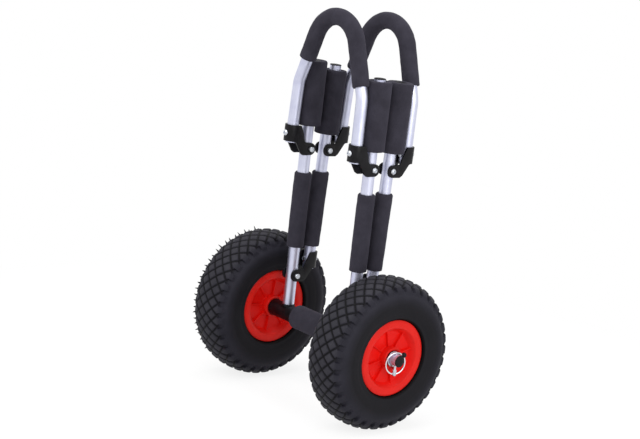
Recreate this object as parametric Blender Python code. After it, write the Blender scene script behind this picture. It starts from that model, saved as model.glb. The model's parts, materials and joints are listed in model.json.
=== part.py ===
"""Folding cart for a board: two wheels on a tubular axle, two folding post frames, two padded arches.

Metres, +Z up. +X runs along the axle to the cart's right, +Y to its rear. The origin is on the ground
under the middle of the axle. The cart stands folded, as it is stored: the rear frame and both arches
lie against the front posts.
"""

import math

import bmesh
import bpy
from mathutils import Matrix, Vector

SIDES = {"left": -1, "right": 1}

# Gaps between pieces
SEAT_GAP = 0.0003
SWING_GAP = 0.0004

# Wheels
TYRE_RADIUS = 0.130
TYRE_HALF_WIDTH = 0.0425
TYRE_WIDEST_RADIUS = 0.097
TYRE_CROWN_SQUARENESS = 2.5
TYRE_SIDEWALL_DEPTH = 0.060
TYRE_CASING = 0.011
TYRE_VENT_RADIUS = 0.0015
TREAD_PITCHES = 36
GROOVE_DEPTH = 0.0024
GROOVE_HALF_WIDTH = 0.0018
GROOVE_FADE = (0.036, 0.060)
LUG_ROW = 3
LUG_HALF_LENGTH = 0.0066
LUG_END = 0.0425
LUG_SLOPE = 0.0012
SHOULDER_RING = 0.0520
WHEEL_CENTRE_X = 0.160
RIM_RADIUS = 0.065
RIM_HALF_WIDTH = 0.037
RIM_FLANGE_THICKNESS = 0.004
RIM_SEAT_RADIUS = 0.060
RIM_WALL = 0.003
RIM_FACE_INNER_RADIUS = 0.052
RIM_WEB_RADIUS = 0.046
RIM_WEB_DEPTH = 0.010
RIM_LIP = 0.0012
RIB_COUNT = 8
RIB_THICKNESS = 0.0020
RIB_DEPTH = 0.0020
RIB_ROOT = 0.0010
RIB_TURN = {"left": math.radians(-6.5), "right": math.radians(13.0)}
HUB_RADIUS = 0.0185
HUB_COUNTERBORE_RADIUS = 0.0160
HUB_COUNTERBORE_DEPTH = 0.0050
BUSH_WALL = 0.0022

# Tubes
TUBE_RADIUS = 0.010
TUBE_WALL = 0.0016
PLUG_THICKNESS = 0.0018
PLUG_SPIGOT = 0.014
PLUG_ROUNDING = 0.0010

# Axle fittings
TEE_RADIUS = 0.0135
TEE_INNER_X = 0.0553
TEE_COLLAR_RADIUS = 0.0118
TEE_COLLAR_HEIGHT = 0.0018
TEE_SPIGOT = 0.024
AXLE_FOAM_RADIUS = 0.021
WASHER_RADIUS = 0.0125
WASHER_THICKNESS = 0.0022

# Posts, heights above the axle
POST_X = 0.085
FRONT_POST_TOP = 0.4450
LOWER_PIVOT = 0.0695
FRONT_KNEE = 0.2945
FRONT_LOWER_FOAM = (0.1195, 0.2515)
FRONT_UPPER_FOAM = {"left": (0.3375, 0.4430), "right": (0.3300, 0.4405)}

# Rear frame, heights along its posts above the lower pivot
REAR_LEAN = math.radians(1.9)
REAR_POST_TOP = 0.3697
REAR_KNEE = 0.2228
REAR_LOWER_FOAM = (0.0512, 0.1832)
REAR_UPPER_FOAM = {"left": (0.2507, 0.3617), "right": (0.2548, 0.3670)}

# Foam sleeves
LOWER_FOAM_RADIUS = 0.0145
UPPER_FOAM_RADIUS = 0.021
LOOP_FOAM_RADIUS = 0.0145
FOAM_ROUNDING = 0.0020

# Arches, heights above the knee pivot
LOOP_LEG_INSET = 0.0020
LOOP_LEG_STRAIGHT = 0.0450
LOOP_BEND_HEIGHT = 0.1180
LOOP_BEND_RADIUS = 0.040
LOOP_TAPER = math.radians(20.0)
LOOP_ARCH_RADIUS = 0.0556
FRONT_LOOP_LEAN = math.radians(1.0)
REAR_LOOP_LEAN = 0.0
FRONT_LOOP_FOAM = {"left": 0.156, "right": 0.148}
REAR_LOOP_FOAM = {"left": 0.148, "right": 0.1455}

# Pivot brackets, from the pivot: reach outward, height up
BRACKET_REACH = 0.034
BRACKET_SHEET = 0.0032
BRACKET_BOSS_RADIUS = 0.0105
BRACKET_TOP = 0.0410
BRACKET_TOP_REACH = 0.0300
BRACKET_WAIST = (0.0120, 0.0230)
BRACKET_HEEL = (0.0160, 0.0210)
BRACKET_HEEL_HEIGHT = -0.0070
BRACKET_WRAP_HEIGHT = 0.0128
BRACKET_BOSS_START = math.radians(80.0)
CLAMP_BOLT_HEIGHT = 0.0270

# Bolts
BOLT_RADIUS = 0.0030
PIVOT_HEAD_RADIUS = 0.0052
PIVOT_HEAD_HEIGHT = 0.0032
CLAMP_HEAD_RADIUS = 0.0052
CLAMP_HEAD_HEIGHT = 0.0036
NUT_RADIUS = 0.0050
PIVOT_NUT_HEIGHT = 0.0045
CLAMP_NUT_HEIGHT = 0.0024
CROWN_RADIUS_SHARE = 0.7
CROWN_HEIGHT_SHARES = (0.2, 0.8)

# Linch pins, heights above the axle
PIN_SPACE = 0.0055
AXLE_BEYOND_PIN = 0.0090
PIN_RADIUS = 0.0030
PIN_HEAD_RADIUS = 0.0040
PIN_NECK = -0.0160
PIN_EYE = -0.0243
PIN_EYE_RADIUS = 0.0022
PIN_HEAD_END = -0.0285
RING_RADIUS = 0.0187
RING_WIRE = 0.00125
RING_TURN = math.radians(19.0)
KNOB_RADIUS = 0.0040
KNOB_OFFSET = 0.0014
KNOB_PLACE = math.radians(41.0)
KNOB_BANDS = 6

# Facets round a full turn
CROWN_STEPS = 90
RIM_STEPS = 20
TUBE_STEPS = 16
LOOP_STEPS = 12
BOLT_STEPS = 8
WIRE_STEPS = 6
ARC_STEP = math.radians(20.0)
WRAP_STEP = math.radians(23.0)
BOSS_STEP = math.radians(40.0)
QUARTER = math.pi / 2
SHARP_ANGLE = math.radians(35.0)

# Worked out from the sizes above
AXLE_HEIGHT = TYRE_RADIUS
TUBE_BORE = TUBE_RADIUS - TUBE_WALL
SLEEVE_BORE = TUBE_RADIUS + SEAT_GAP
BOLT_HOLE = BOLT_RADIUS + SEAT_GAP
LEG_END_HEIGHT = TUBE_RADIUS + SWING_GAP
BRACKET_INNER = TUBE_RADIUS + SWING_GAP
BRACKET_OUTER = BRACKET_INNER + BRACKET_SHEET
POST_SEAT = TEE_RADIUS + TEE_COLLAR_HEIGHT
PIN_HOLE = PIN_RADIUS + SEAT_GAP
KNOB_BORE = RING_WIRE + 2 * SEAT_GAP
HUB_INNER_X = WHEEL_CENTRE_X - RIM_HALF_WIDTH
HUB_OUTER_X = WHEEL_CENTRE_X + RIM_HALF_WIDTH
WASHER_INNER_X = HUB_OUTER_X + SEAT_GAP
PIN_X = WASHER_INNER_X + WASHER_THICKNESS + PIN_SPACE
AXLE_HALF_LENGTH = PIN_X + AXLE_BEYOND_PIN


def clear_scene():
    for item in list(bpy.data.objects):
        bpy.data.objects.remove(item, do_unlink=True)


def finish(name, colour, roughness, metallic=0.0):
    """A material from the surface's own colour, roughness and metallic value."""
    material = bpy.data.materials.new(name)
    material.use_nodes = True
    shader = material.node_tree.nodes["Principled BSDF"]
    shader.inputs["Base Color"].default_value = (*colour, 1.0)
    shader.inputs["Roughness"].default_value = roughness
    shader.inputs["Metallic"].default_value = metallic
    return material


def empty(name, parent=None, location=(0, 0, 0), turn=Matrix.Identity(3)):
    """A joint's frame: pieces that move together hang from it."""
    frame = bpy.data.objects.new(name, None)
    frame.empty_display_size = 0.03
    place(frame, parent, location, turn)
    return frame


def place(item, parent, location, turn):
    bpy.context.collection.objects.link(item)
    item.parent = parent
    item.location = location
    item.rotation_euler = turn.to_euler()


def solid(name, bm, material, parent, location=(0, 0, 0), turn=Matrix.Identity(3)):
    """Turns a closed bmesh into a named object."""
    bmesh.ops.recalc_face_normals(bm, faces=bm.faces)
    mesh = bpy.data.meshes.new(name)
    bm.to_mesh(mesh)
    bm.free()
    mesh.shade_smooth()
    mesh.set_sharp_from_angle(angle=SHARP_ANGLE)
    if material:
        mesh.materials.append(material)
    item = bpy.data.objects.new(name, mesh)
    place(item, parent, location, turn)
    return item


def helper(item):
    """Marks an object that only shapes another one."""
    item.hide_render = True
    item.display_type = "WIRE"
    return item


def combine(item, other, operation):
    """Cuts, joins or keeps the common part of two solids."""
    modifier = item.modifiers.new(other.name, "BOOLEAN")
    modifier.operation = operation
    modifier.solver = "EXACT"
    modifier.object = helper(other)


def turned(outline, steps, closed=True):
    """Spins an outline of (radius, height) points about Z."""
    bm = bmesh.new()
    corners = [bm.verts.new((radius, 0, height)) for radius, height in outline]
    pairs = list(zip(corners, corners[1:]))
    if closed:
        pairs.append((corners[-1], corners[0]))
    edges = [bm.edges.new(pair) for pair in pairs]
    bmesh.ops.spin(
        bm,
        geom=corners + edges,
        cent=(0, 0, 0),
        axis=(0, 0, 1),
        angle=math.tau,
        steps=steps,
        use_merge=True,
    )
    bmesh.ops.remove_doubles(bm, verts=bm.verts, dist=1e-6)
    return bm


def extruded(outline, low, high):
    """A prism along Z from a closed outline of (x, y) points."""
    bm = bmesh.new()
    base = bm.faces.new([bm.verts.new((x, y, low)) for x, y in outline])
    grown = bmesh.ops.extrude_face_region(bm, geom=[base])
    lifted = [item for item in grown["geom"] if isinstance(item, bmesh.types.BMVert)]
    bmesh.ops.translate(bm, verts=lifted, vec=(0, 0, high - low))
    return bm


def swept(path, outer, inner, steps):
    """A hollow tube along a path of (x, z) points in the XZ plane."""
    bm = bmesh.new()
    walls = []
    for radius in (outer, inner):
        rings = []
        for index, point in enumerate(path):
            before = path[max(index - 1, 0)]
            after = path[min(index + 1, len(path) - 1)]
            along = (after - before).normalized()
            across = Vector((along.y, -along.x))
            ring = []
            for step in range(steps):
                angle = math.tau * step / steps
                reach = radius * math.cos(angle)
                spot = point + across * reach
                ring.append(bm.verts.new((spot.x, radius * math.sin(angle), spot.y)))
            rings.append(ring)
        for low, high in zip(rings, rings[1:]):
            bridge(bm, low, high)
        walls.append(rings)
    for end in (0, -1):
        bridge(bm, walls[0][end], walls[1][end])
    return bm


def bridge(bm, ring, other):
    for index, corner in enumerate(ring):
        following = (index + 1) % len(ring)
        bm.faces.new((corner, ring[following], other[following], other[index]))


def arc(centre, radius, start, end, step=ARC_STEP):
    """Points on an arc, both ends included."""
    count = max(1, math.ceil(abs(end - start) / step - 1e-6))
    points = []
    for index in range(count + 1):
        angle = start + (end - start) * index / count
        points.append((centre[0] + radius * math.cos(angle), centre[1] + radius * math.sin(angle)))
    return points


def filleted(corners, radii):
    """An open line through the corners, each rounded to its radius."""
    path = [corners[0]]
    for before, corner, after, radius in zip(corners, corners[1:], corners[2:], radii):
        arriving = (corner - before).normalized()
        leaving = (after - corner).normalized()
        turning = arriving.angle_signed(leaving)
        setback = radius * math.tan(abs(turning) / 2)
        start = corner - arriving * setback
        hand = -1 if turning > 0 else 1
        centre = start + Vector((-arriving.y, arriving.x)) * radius * hand
        first = math.atan2(*(start - centre).yx)
        sweep = abs(turning) * hand
        path += [Vector(point) for point in arc(centre, radius, first, first + sweep)]
    path.append(corners[-1])
    return path


def cut_cylinder(name, radius, half_length, parent, location, turn):
    """A cylinder that is taken out of other pieces."""
    outline = [(0, half_length), (radius, half_length), (radius, -half_length), (0, -half_length)]
    return helper(solid(name, turned(outline, BOLT_STEPS, closed=False), None, parent, location, turn))


def facing(direction):
    """The turn that points local Z along a direction."""
    return Vector(direction).to_track_quat("Z", "Y").to_matrix()


def tube_outline(low, high, outer=TUBE_RADIUS, inner=TUBE_BORE):
    return [(outer, high), (outer, low), (inner, low), (inner, high)]


def sleeve_outline(low, high, radius):
    """A foam sleeve on a tube, its outer edges softly rounded."""
    edge = radius - FOAM_ROUNDING
    top = arc((edge, high - FOAM_ROUNDING), FOAM_ROUNDING, QUARTER, 0, QUARTER)
    bottom = arc((edge, low + FOAM_ROUNDING), FOAM_ROUNDING, 0, -QUARTER, QUARTER)
    return top + bottom + [(SLEEVE_BORE, low), (SLEEVE_BORE, high)]


def plug_outline(seat):
    """A tube's end plug, its cap just above the seat and its spigot below it."""
    base = seat + SEAT_GAP
    top = base + PLUG_THICKNESS
    spigot = TUBE_BORE - SEAT_GAP
    return [
        (0, top),
        (TUBE_RADIUS - PLUG_ROUNDING, top),
        (TUBE_RADIUS, top - PLUG_ROUNDING),
        (TUBE_RADIUS, base),
        (spigot, base),
        (spigot, base - PLUG_SPIGOT),
        (0, base - PLUG_SPIGOT),
    ]


def make_bolt(name, parent, location, direction, grip, head, nut_height, material):
    """A round-headed bolt with its nut. The grip runs from the nut's face to the head's."""
    head_radius, head_height = head
    low, high = grip
    low -= SEAT_GAP
    high += SEAT_GAP
    edge, crown = (high + head_height * share for share in CROWN_HEIGHT_SHARES)
    outline = [
        (0, high + head_height),
        (head_radius * CROWN_RADIUS_SHARE, crown),
        (head_radius, edge),
        (head_radius, high),
        (BOLT_RADIUS, high),
        (BOLT_RADIUS, low),
        (NUT_RADIUS, low),
        (NUT_RADIUS, low - nut_height),
        (0, low - nut_height),
    ]
    bm = turned(outline, BOLT_STEPS, closed=False)
    return solid(name, bm, material, parent, location, facing(direction))


def crown_points():
    """Half the crown's section as (distance from its middle, radius, offset) points."""
    crown = TYRE_RADIUS - TYRE_WIDEST_RADIUS
    power = 2 / TYRE_CROWN_SQUARENESS
    points = [(0.0, TYRE_RADIUS, 0.0)]
    for step in range(1, CROWN_STEPS + 1):
        angle = QUARTER * step / CROWN_STEPS
        radius = TYRE_WIDEST_RADIUS + crown * max(math.cos(angle), 0.0) ** power
        offset = TYRE_HALF_WIDTH * math.sin(angle) ** power
        distance, before, aside = points[-1]
        points.append((distance + math.hypot(radius - before, offset - aside), radius, offset))
    return points


def groove_floor(distance):
    """How deep the grooves are, that far from the crown's middle. They run out on the sidewall."""
    start, end = GROOVE_FADE
    share = min(max((distance - start) / (end - start), 0.0), 1.0)
    return GROOVE_DEPTH * (1 - share * share * (3 - 2 * share))


class Tread:
    """The tyre's outside as one mesh. A place on it is how many tread pitches round, and how far from
    the crown's middle, in metres, with its sign."""

    def __init__(self):
        self.bm = bmesh.new()
        self.crown = crown_points()
        self.corners = {}
        self.row_height = math.pi * TYRE_RADIUS / TREAD_PITCHES
        self.kept = 1 - GROOVE_HALF_WIDTH * math.sqrt(2) / self.row_height
        self.foot_half = (LUG_HALF_LENGTH + LUG_SLOPE) / self.row_height / 2

    def section(self, distance, depth):
        """The radius and the offset of a place, sunk below the surface."""
        last = len(self.crown) - 1
        index = next(i for i in range(1, last + 1) if self.crown[i][0] >= distance or i == last)
        before, after = Vector(self.crown[index - 1]), Vector(self.crown[index])
        along = (after - before) / (after.x - before.x)
        spot = before + along * (distance - before.x)
        return spot.y - along.z * depth, spot.z + along.y * depth

    def corner(self, pitch, distance, depth):
        key = (round(pitch % TREAD_PITCHES, 4), round(distance, 6), round(depth, 6))
        if key not in self.corners:
            radius, offset = self.section(abs(distance), depth)
            self.corners[key] = self.place(pitch, radius, math.copysign(offset, distance))
        return self.corners[key]

    def place(self, pitch, radius, offset):
        """A block's leading corner lies at the turn's start, so that the tyre stands on corners."""
        angle = math.tau * (pitch - self.kept / 2) / TREAD_PITCHES
        return self.bm.verts.new((radius * math.cos(angle), radius * math.sin(angle), offset))

    def crossing(self, pitch, row):
        return self.corner(pitch, row * self.row_height, GROOVE_DEPTH)

    def block(self, pitch, row):
        """A diamond block with its four walls, each down to the middle of a groove."""
        ways = ((0.5, 0), (0, 1), (-0.5, 0), (0, -1))
        base = [self.crossing(pitch + x, row + y) for x, y in ways]
        top = []
        for x, y in ways:
            top.append(self.corner(pitch + x * self.kept, (row + y * self.kept) * self.row_height, 0))
        return [top] + [(base[i - 1], base[i], top[i], top[i - 1]) for i in range(4)]

    def lug(self, pitch, row):
        """A shoulder lug: half a block on its inner side, and square on its outer side."""
        hand = math.copysign(1, row)
        half = LUG_HALF_LENGTH / self.row_height / 2
        line = row * self.row_height
        foot = (hand * (LUG_END + LUG_SLOPE), groove_floor(LUG_END + LUG_SLOPE))
        inner, left, right = self.crossing(pitch, row - hand), *self.crossing_pair(pitch, row)
        top_inner = self.corner(pitch, line - hand * self.kept * self.row_height, 0)
        top_left, top_right = (self.corner(pitch + x * self.kept / 2, line, 0) for x in (-1, 1))
        end_left, end_right = (self.corner(pitch + x * half, hand * LUG_END, 0) for x in (-1, 1))
        foot_left, foot_right = (self.corner(pitch + x * self.foot_half, *foot) for x in (-1, 1))
        next_left = self.corner(pitch + 1 - self.foot_half, *foot)
        return [
            (top_inner, top_right, end_right, end_left, top_left),
            (inner, right, top_right, top_inner),
            (left, inner, top_inner, top_left),
            (right, foot_right, end_right, top_right),
            (foot_left, left, top_left, end_left),
            (foot_right, foot_left, end_left, end_right),
            (right, next_left, foot_right),
        ]

    def crossing_pair(self, pitch, row):
        return self.crossing(pitch - 0.5, row), self.crossing(pitch + 0.5, row)

    def side(self, hand):
        """The smooth side from the lugs' feet to the bead and the seat. Returns the seat's ring."""
        inside_flange = RIM_HALF_WIDTH - RIM_FLANGE_THICKNESS - SEAT_GAP
        outline = [self.section(SHOULDER_RING, groove_floor(SHOULDER_RING))]
        for share in (0, 0.5, 1):
            drop = (TYRE_WIDEST_RADIUS - RIM_RADIUS - RIM_LIP) * share
            spread = math.sqrt(1 - (drop / TYRE_SIDEWALL_DEPTH) ** 2)
            outline.append((TYRE_WIDEST_RADIUS - drop, TYRE_HALF_WIDTH * spread))
        outline.append((RIM_RADIUS + SEAT_GAP, inside_flange))
        outline.append((RIM_SEAT_RADIUS + SEAT_GAP, inside_flange))
        pitches = [step + (LUG_ROW % 2) / 2 for step in range(TREAD_PITCHES)]
        rings = [[self.place(p, radius, hand * offset) for p in pitches] for radius, offset in outline]
        for ring, other in zip(rings, rings[1:]):
            bridge(self.bm, ring, other)
        foot = (hand * (LUG_END + LUG_SLOPE), groove_floor(LUG_END + LUG_SLOPE))
        for index, pitch in enumerate(pitches):
            here, following = rings[0][index], rings[0][(index + 1) % TREAD_PITCHES]
            left, right = (self.corner(pitch + x * self.foot_half, *foot) for x in (-1, 1))
            next_left = self.corner(pitch + 1 - self.foot_half, *foot)
            for face in ((left, right, here), (right, next_left, here), (next_left, following, here)):
                self.bm.faces.new(face)
        return rings[-1]


def tyre_body():
    """The tyre: diamond blocks between V grooves, a row of lugs on each shoulder, and smooth sides."""
    tread = Tread()
    faces = []
    for row in range(-LUG_ROW, LUG_ROW + 1):
        shape = tread.lug if abs(row) == LUG_ROW else tread.block
        for step in range(TREAD_PITCHES):
            faces += shape(step + (row % 2) / 2, row)
    made = [tread.bm.faces.new(face) for face in faces]
    bmesh.ops.triangulate(tread.bm, faces=made)
    bridge(tread.bm, tread.side(1), tread.side(-1))
    return tread.bm


def chamber_outline():
    """The air chamber inside the tyre."""
    low = RIM_SEAT_RADIUS + SEAT_GAP + TYRE_CASING
    high = TYRE_RADIUS - TYRE_CASING
    centre = (low + high) / 2
    points = []
    for index in range(BOLT_STEPS):
        angle = math.tau * index / BOLT_STEPS
        radius = centre + (high - low) / 2 * math.cos(angle)
        points.append((radius, (TYRE_HALF_WIDTH - TYRE_CASING) * math.sin(angle)))
    return points


def make_tyre(name, wheel, material):
    tyre = solid(name, tyre_body(), material, wheel)
    chamber = solid(name + "_chamber", turned(chamber_outline(), RIM_STEPS), None, wheel)
    combine(tyre, chamber, "DIFFERENCE")
    middle = RIM_SEAT_RADIUS + TYRE_CASING
    spot = (middle, 0, 0)
    vent = cut_cylinder(name + "_vent", TYRE_VENT_RADIUS, TYRE_CASING, wheel, spot, facing((1, 0, 0)))
    combine(tyre, vent, "DIFFERENCE")


def rim_outline():
    """One half of the rim: hub, web, dished wall, flange and barrel, open towards the other half."""
    face = RIM_HALF_WIDTH
    web = face - RIM_WEB_DEPTH
    back = web - RIM_WALL
    middle = SEAT_GAP / 2
    barrel = RIM_SEAT_RADIUS - RIM_WALL
    shoulder = face - RIM_FLANGE_THICKNESS - RIM_WALL
    bush_seat = TUBE_RADIUS + SWING_GAP + BUSH_WALL + SEAT_GAP
    return [
        (RIM_RADIUS - RIM_LIP, face),
        (RIM_RADIUS, face - RIM_LIP),
        (RIM_RADIUS, face - RIM_FLANGE_THICKNESS),
        (RIM_SEAT_RADIUS, face - RIM_FLANGE_THICKNESS),
        (RIM_SEAT_RADIUS, middle),
        (barrel, middle),
        (barrel, shoulder),
        (RIM_WEB_RADIUS + RIM_WALL, back),
        (HUB_RADIUS, back),
        (HUB_RADIUS, middle),
        (bush_seat, middle),
        (bush_seat, face - HUB_COUNTERBORE_DEPTH),
        (HUB_COUNTERBORE_RADIUS, face - HUB_COUNTERBORE_DEPTH),
        (HUB_COUNTERBORE_RADIUS, face),
        (HUB_RADIUS, face),
        (HUB_RADIUS, web),
        (RIM_WEB_RADIUS, web),
        (RIM_FACE_INNER_RADIUS, face),
    ]


def rib_bodies(turn):
    """The radial ribs that stand on the web, set into the hub and the dished wall."""
    face = RIM_HALF_WIDTH
    web = face - RIM_WEB_DEPTH
    top = face - RIB_DEPTH
    start = (HUB_RADIUS + HUB_COUNTERBORE_RADIUS) / 2
    wall_slope = (RIM_FACE_INNER_RADIUS - RIM_WEB_RADIUS) / RIM_WEB_DEPTH
    top_end = RIM_FACE_INNER_RADIUS - wall_slope * RIB_DEPTH + RIB_ROOT
    base_end = RIM_WEB_RADIUS + RIB_ROOT
    base = web - RIB_ROOT
    outline = [(start, base), (base_end, base), (top_end, top), (start, top)]
    ribs = bmesh.new()
    for index in range(RIB_COUNT):
        angle = math.tau * index / RIB_COUNT + turn
        rib = extruded(outline, -RIB_THICKNESS / 2, RIB_THICKNESS / 2)
        upright = Matrix.Rotation(math.pi / 2, 4, "X")
        around = Matrix.Rotation(angle, 4, "Z")
        bmesh.ops.transform(rib, matrix=around @ upright, verts=rib.verts)
        piece = bpy.data.meshes.new("rib")
        rib.to_mesh(piece)
        rib.free()
        ribs.from_mesh(piece)
        bpy.data.meshes.remove(piece)
    return ribs


def make_rim_half(name, wheel, hand, turn, material):
    """hand is +1 for the half that faces outward and -1 for the half that faces the frame."""
    direction = facing((0, 0, hand))
    half = solid(name, turned(rim_outline(), RIM_STEPS), material, wheel, turn=direction)
    ribs = solid(name + "_ribs", rib_bodies(turn), None, wheel, turn=direction)
    combine(half, ribs, "UNION")


def make_wheel(side, sign, finishes):
    """The wheel's local Z axis is the axle, pointing outward."""
    outward = facing((sign, 0, 0))
    wheel = empty(f"wheel_{side}_axis", None, (sign * WHEEL_CENTRE_X, 0, AXLE_HEIGHT), outward)
    make_tyre(f"tyre_{side}", wheel, finishes["tyre"])
    for half, hand in (("outer", 1), ("inner", -1)):
        make_rim_half(f"rim_{side}_{half}", wheel, hand, RIB_TURN[side], finishes["rim"])
    bore = TUBE_RADIUS + SWING_GAP
    outline = tube_outline(-RIM_HALF_WIDTH, RIM_HALF_WIDTH, bore + BUSH_WALL, bore)
    solid(f"hub_bush_{side}", turned(outline, TUBE_STEPS), finishes["bush"], wheel)


def make_axle(finishes):
    """The axle tube with its plugs, tees, washers and middle foam."""
    centre = (0, 0, AXLE_HEIGHT)
    across = facing((1, 0, 0))
    outline = tube_outline(-AXLE_HALF_LENGTH, AXLE_HALF_LENGTH)
    axle = solid("axle_tube", turned(outline, TUBE_STEPS), finishes["tube"], None, centre, across)
    foam = sleeve_outline(-TEE_INNER_X + SEAT_GAP, TEE_INNER_X - SEAT_GAP, AXLE_FOAM_RADIUS)
    solid("axle_foam", turned(foam, TUBE_STEPS), finishes["foam"], None, centre, across)
    for side, sign in SIDES.items():
        outward = facing((sign, 0, 0))
        plug = turned(plug_outline(AXLE_HALF_LENGTH), TUBE_STEPS, closed=False)
        plug = solid(f"axle_plug_{side}", plug, finishes["plug"], None, centre, outward)
        spot = (sign * PIN_X, 0, AXLE_HEIGHT)
        hole = cut_cylinder(f"pin_hole_{side}", PIN_HOLE, 2 * TUBE_RADIUS, None, spot, Matrix.Identity(3))
        combine(axle, hole, "DIFFERENCE")
        combine(plug, hole, "DIFFERENCE")
        washer_outer_x = WASHER_INNER_X + WASHER_THICKNESS
        washer = tube_outline(WASHER_INNER_X, washer_outer_x, WASHER_RADIUS, SLEEVE_BORE)
        solid(f"axle_washer_{side}", turned(washer, TUBE_STEPS), finishes["steel"], None, centre, outward)
        make_tee(side, sign, finishes["moulding"])


def make_tee(side, sign, material):
    """A sleeve on the axle with a collar and a spigot that carry a front post."""
    outward = facing((sign, 0, 0))
    outline = tube_outline(TEE_INNER_X, HUB_INNER_X - SWING_GAP, TEE_RADIUS, SLEEVE_BORE)
    tee = solid(
        f"axle_tee_{side}", turned(outline, TUBE_STEPS), material, None, (0, 0, AXLE_HEIGHT), outward
    )
    spigot = TUBE_BORE - SEAT_GAP
    top = POST_SEAT + TEE_SPIGOT
    root = (TEE_RADIUS + SLEEVE_BORE) / 2
    stub_outline = [
        (0, top),
        (spigot, top),
        (spigot, POST_SEAT),
        (TEE_COLLAR_RADIUS, POST_SEAT),
        (TEE_COLLAR_RADIUS, root),
        (0, root),
    ]
    place_on_axle = (sign * POST_X, 0, AXLE_HEIGHT)
    stub = solid(
        f"axle_tee_{side}_stub", turned(stub_outline, TUBE_STEPS, closed=False), None, None, place_on_axle
    )
    combine(tee, stub, "UNION")
    bore = cut_cylinder(f"axle_tee_{side}_bore", SLEEVE_BORE, POST_X, None, place_on_axle, outward)
    combine(tee, bore, "DIFFERENCE")


def drill_across(item, name, parent, location):
    """A bolt hole along X."""
    hole = cut_cylinder(name, BOLT_HOLE, 2 * BRACKET_OUTER, parent, location, facing((1, 0, 0)))
    combine(item, hole, "DIFFERENCE")


def make_post(name, parent, x, y, ends, lower_foam, upper_foam, finishes):
    """A straight tube with two foam sleeves and a top plug, along the parent's Z axis."""
    low, high = ends
    outline = tube_outline(low, high)
    post = solid(name, turned(outline, TUBE_STEPS), finishes["tube"], parent, (x, y, 0))
    parts = (
        ("lower_foam", sleeve_outline(*lower_foam, LOWER_FOAM_RADIUS), TUBE_STEPS, True, "foam"),
        ("upper_foam", sleeve_outline(*upper_foam, UPPER_FOAM_RADIUS), TUBE_STEPS, True, "foam"),
        ("plug", plug_outline(high), TUBE_STEPS, False, "plug"),
    )
    frame_name, side = name.split("_post_")
    for part, shape, steps, closed, slot in parts:
        bm = turned(shape, steps, closed)
        solid(f"{frame_name}_{part}_{side}", bm, finishes[slot], parent, (x, y, 0))
    return post


def bracket_side():
    """The bracket from the side, as (reach, height) points round the outline."""
    far = BRACKET_REACH + 2 * BRACKET_OUTER
    return [
        (BRACKET_TOP_REACH, BRACKET_TOP),
        BRACKET_WAIST,
        *arc((0, 0), BRACKET_BOSS_RADIUS, BRACKET_BOSS_START, 3 * QUARTER, BOSS_STEP),
        (BRACKET_HEEL[0], -BRACKET_BOSS_RADIUS),
        (BRACKET_HEEL[1], BRACKET_HEEL_HEIGHT),
        (BRACKET_REACH, BRACKET_WRAP_HEIGHT),
        (far, BRACKET_WRAP_HEIGHT),
        (far, BRACKET_TOP),
    ]


def bracket_plan():
    """The bracket from above, as (across, reach) points: two cheeks joined round the tube."""
    start = -2 * BRACKET_BOSS_RADIUS
    centre = (0, BRACKET_REACH)
    outer = arc(centre, BRACKET_OUTER, 0, math.pi, WRAP_STEP)
    inner = arc(centre, BRACKET_INNER, math.pi, 0, WRAP_STEP)
    return [
        (BRACKET_OUTER, start),
        *outer,
        (-BRACKET_OUTER, start),
        (-BRACKET_INNER, start),
        *inner,
        (BRACKET_INNER, start),
    ]


def make_bracket(name, parent, x, material):
    """A channel whose cheeks straddle one post and whose round back holds the other tube."""
    spot = (x, 0, 0)
    channel = extruded(bracket_plan(), -2 * BRACKET_BOSS_RADIUS, 2 * BRACKET_TOP)
    bracket = solid(name, channel, material, parent, spot)
    side_view = Matrix(((0, 0, 1), (1, 0, 0), (0, 1, 0)))
    half = 2 * BRACKET_OUTER
    side = solid(name + "_side", extruded(bracket_side(), -half, half), None, parent, spot, side_view)
    combine(bracket, side, "INTERSECT")
    drill_across(bracket, name + "_pivot_hole", parent, spot)
    return bracket


def clamp_tube(name, parent, x, tube, bracket, material):
    """The bolt that holds a tube in a bracket's round back: head outside, nut inside."""
    spot = (x, BRACKET_REACH, CLAMP_BOLT_HEIGHT)
    hole = cut_cylinder(f"{name}_hole", BOLT_HOLE, 2 * BRACKET_OUTER, parent, spot, facing((0, 1, 0)))
    for item in (tube, bracket):
        combine(item, hole, "DIFFERENCE")
    grip = (-TUBE_RADIUS, BRACKET_OUTER)
    head = (CLAMP_HEAD_RADIUS, CLAMP_HEAD_HEIGHT)
    make_bolt(name, parent, spot, (0, 1, 0), grip, head, CLAMP_NUT_HEIGHT, material)


def make_pivot_bolt(name, parent, location, outward, material):
    grip = (-BRACKET_OUTER, BRACKET_OUTER)
    head = (PIVOT_HEAD_RADIUS, PIVOT_HEAD_HEIGHT)
    make_bolt(name, parent, location, (outward, 0, 0), grip, head, PIVOT_NUT_HEIGHT, material)


def make_front_posts(finishes):
    for side, sign in SIDES.items():
        x = sign * POST_X
        low = AXLE_HEIGHT + POST_SEAT + SEAT_GAP
        lower = [AXLE_HEIGHT + height for height in FRONT_LOWER_FOAM]
        upper = [AXLE_HEIGHT + height for height in FRONT_UPPER_FOAM[side]]
        ends = (low, AXLE_HEIGHT + FRONT_POST_TOP)
        post = make_post(f"front_post_{side}", None, x, 0, ends, lower, upper, finishes)
        for part, height in (("lower_pivot_bolt", LOWER_PIVOT), ("front_knee_bolt", FRONT_KNEE)):
            spot = (x, 0, AXLE_HEIGHT + height)
            drill_across(post, f"{part}_hole_{side}", None, spot)
            make_pivot_bolt(f"{part}_{side}", None, spot, sign, finishes["steel"])


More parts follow.
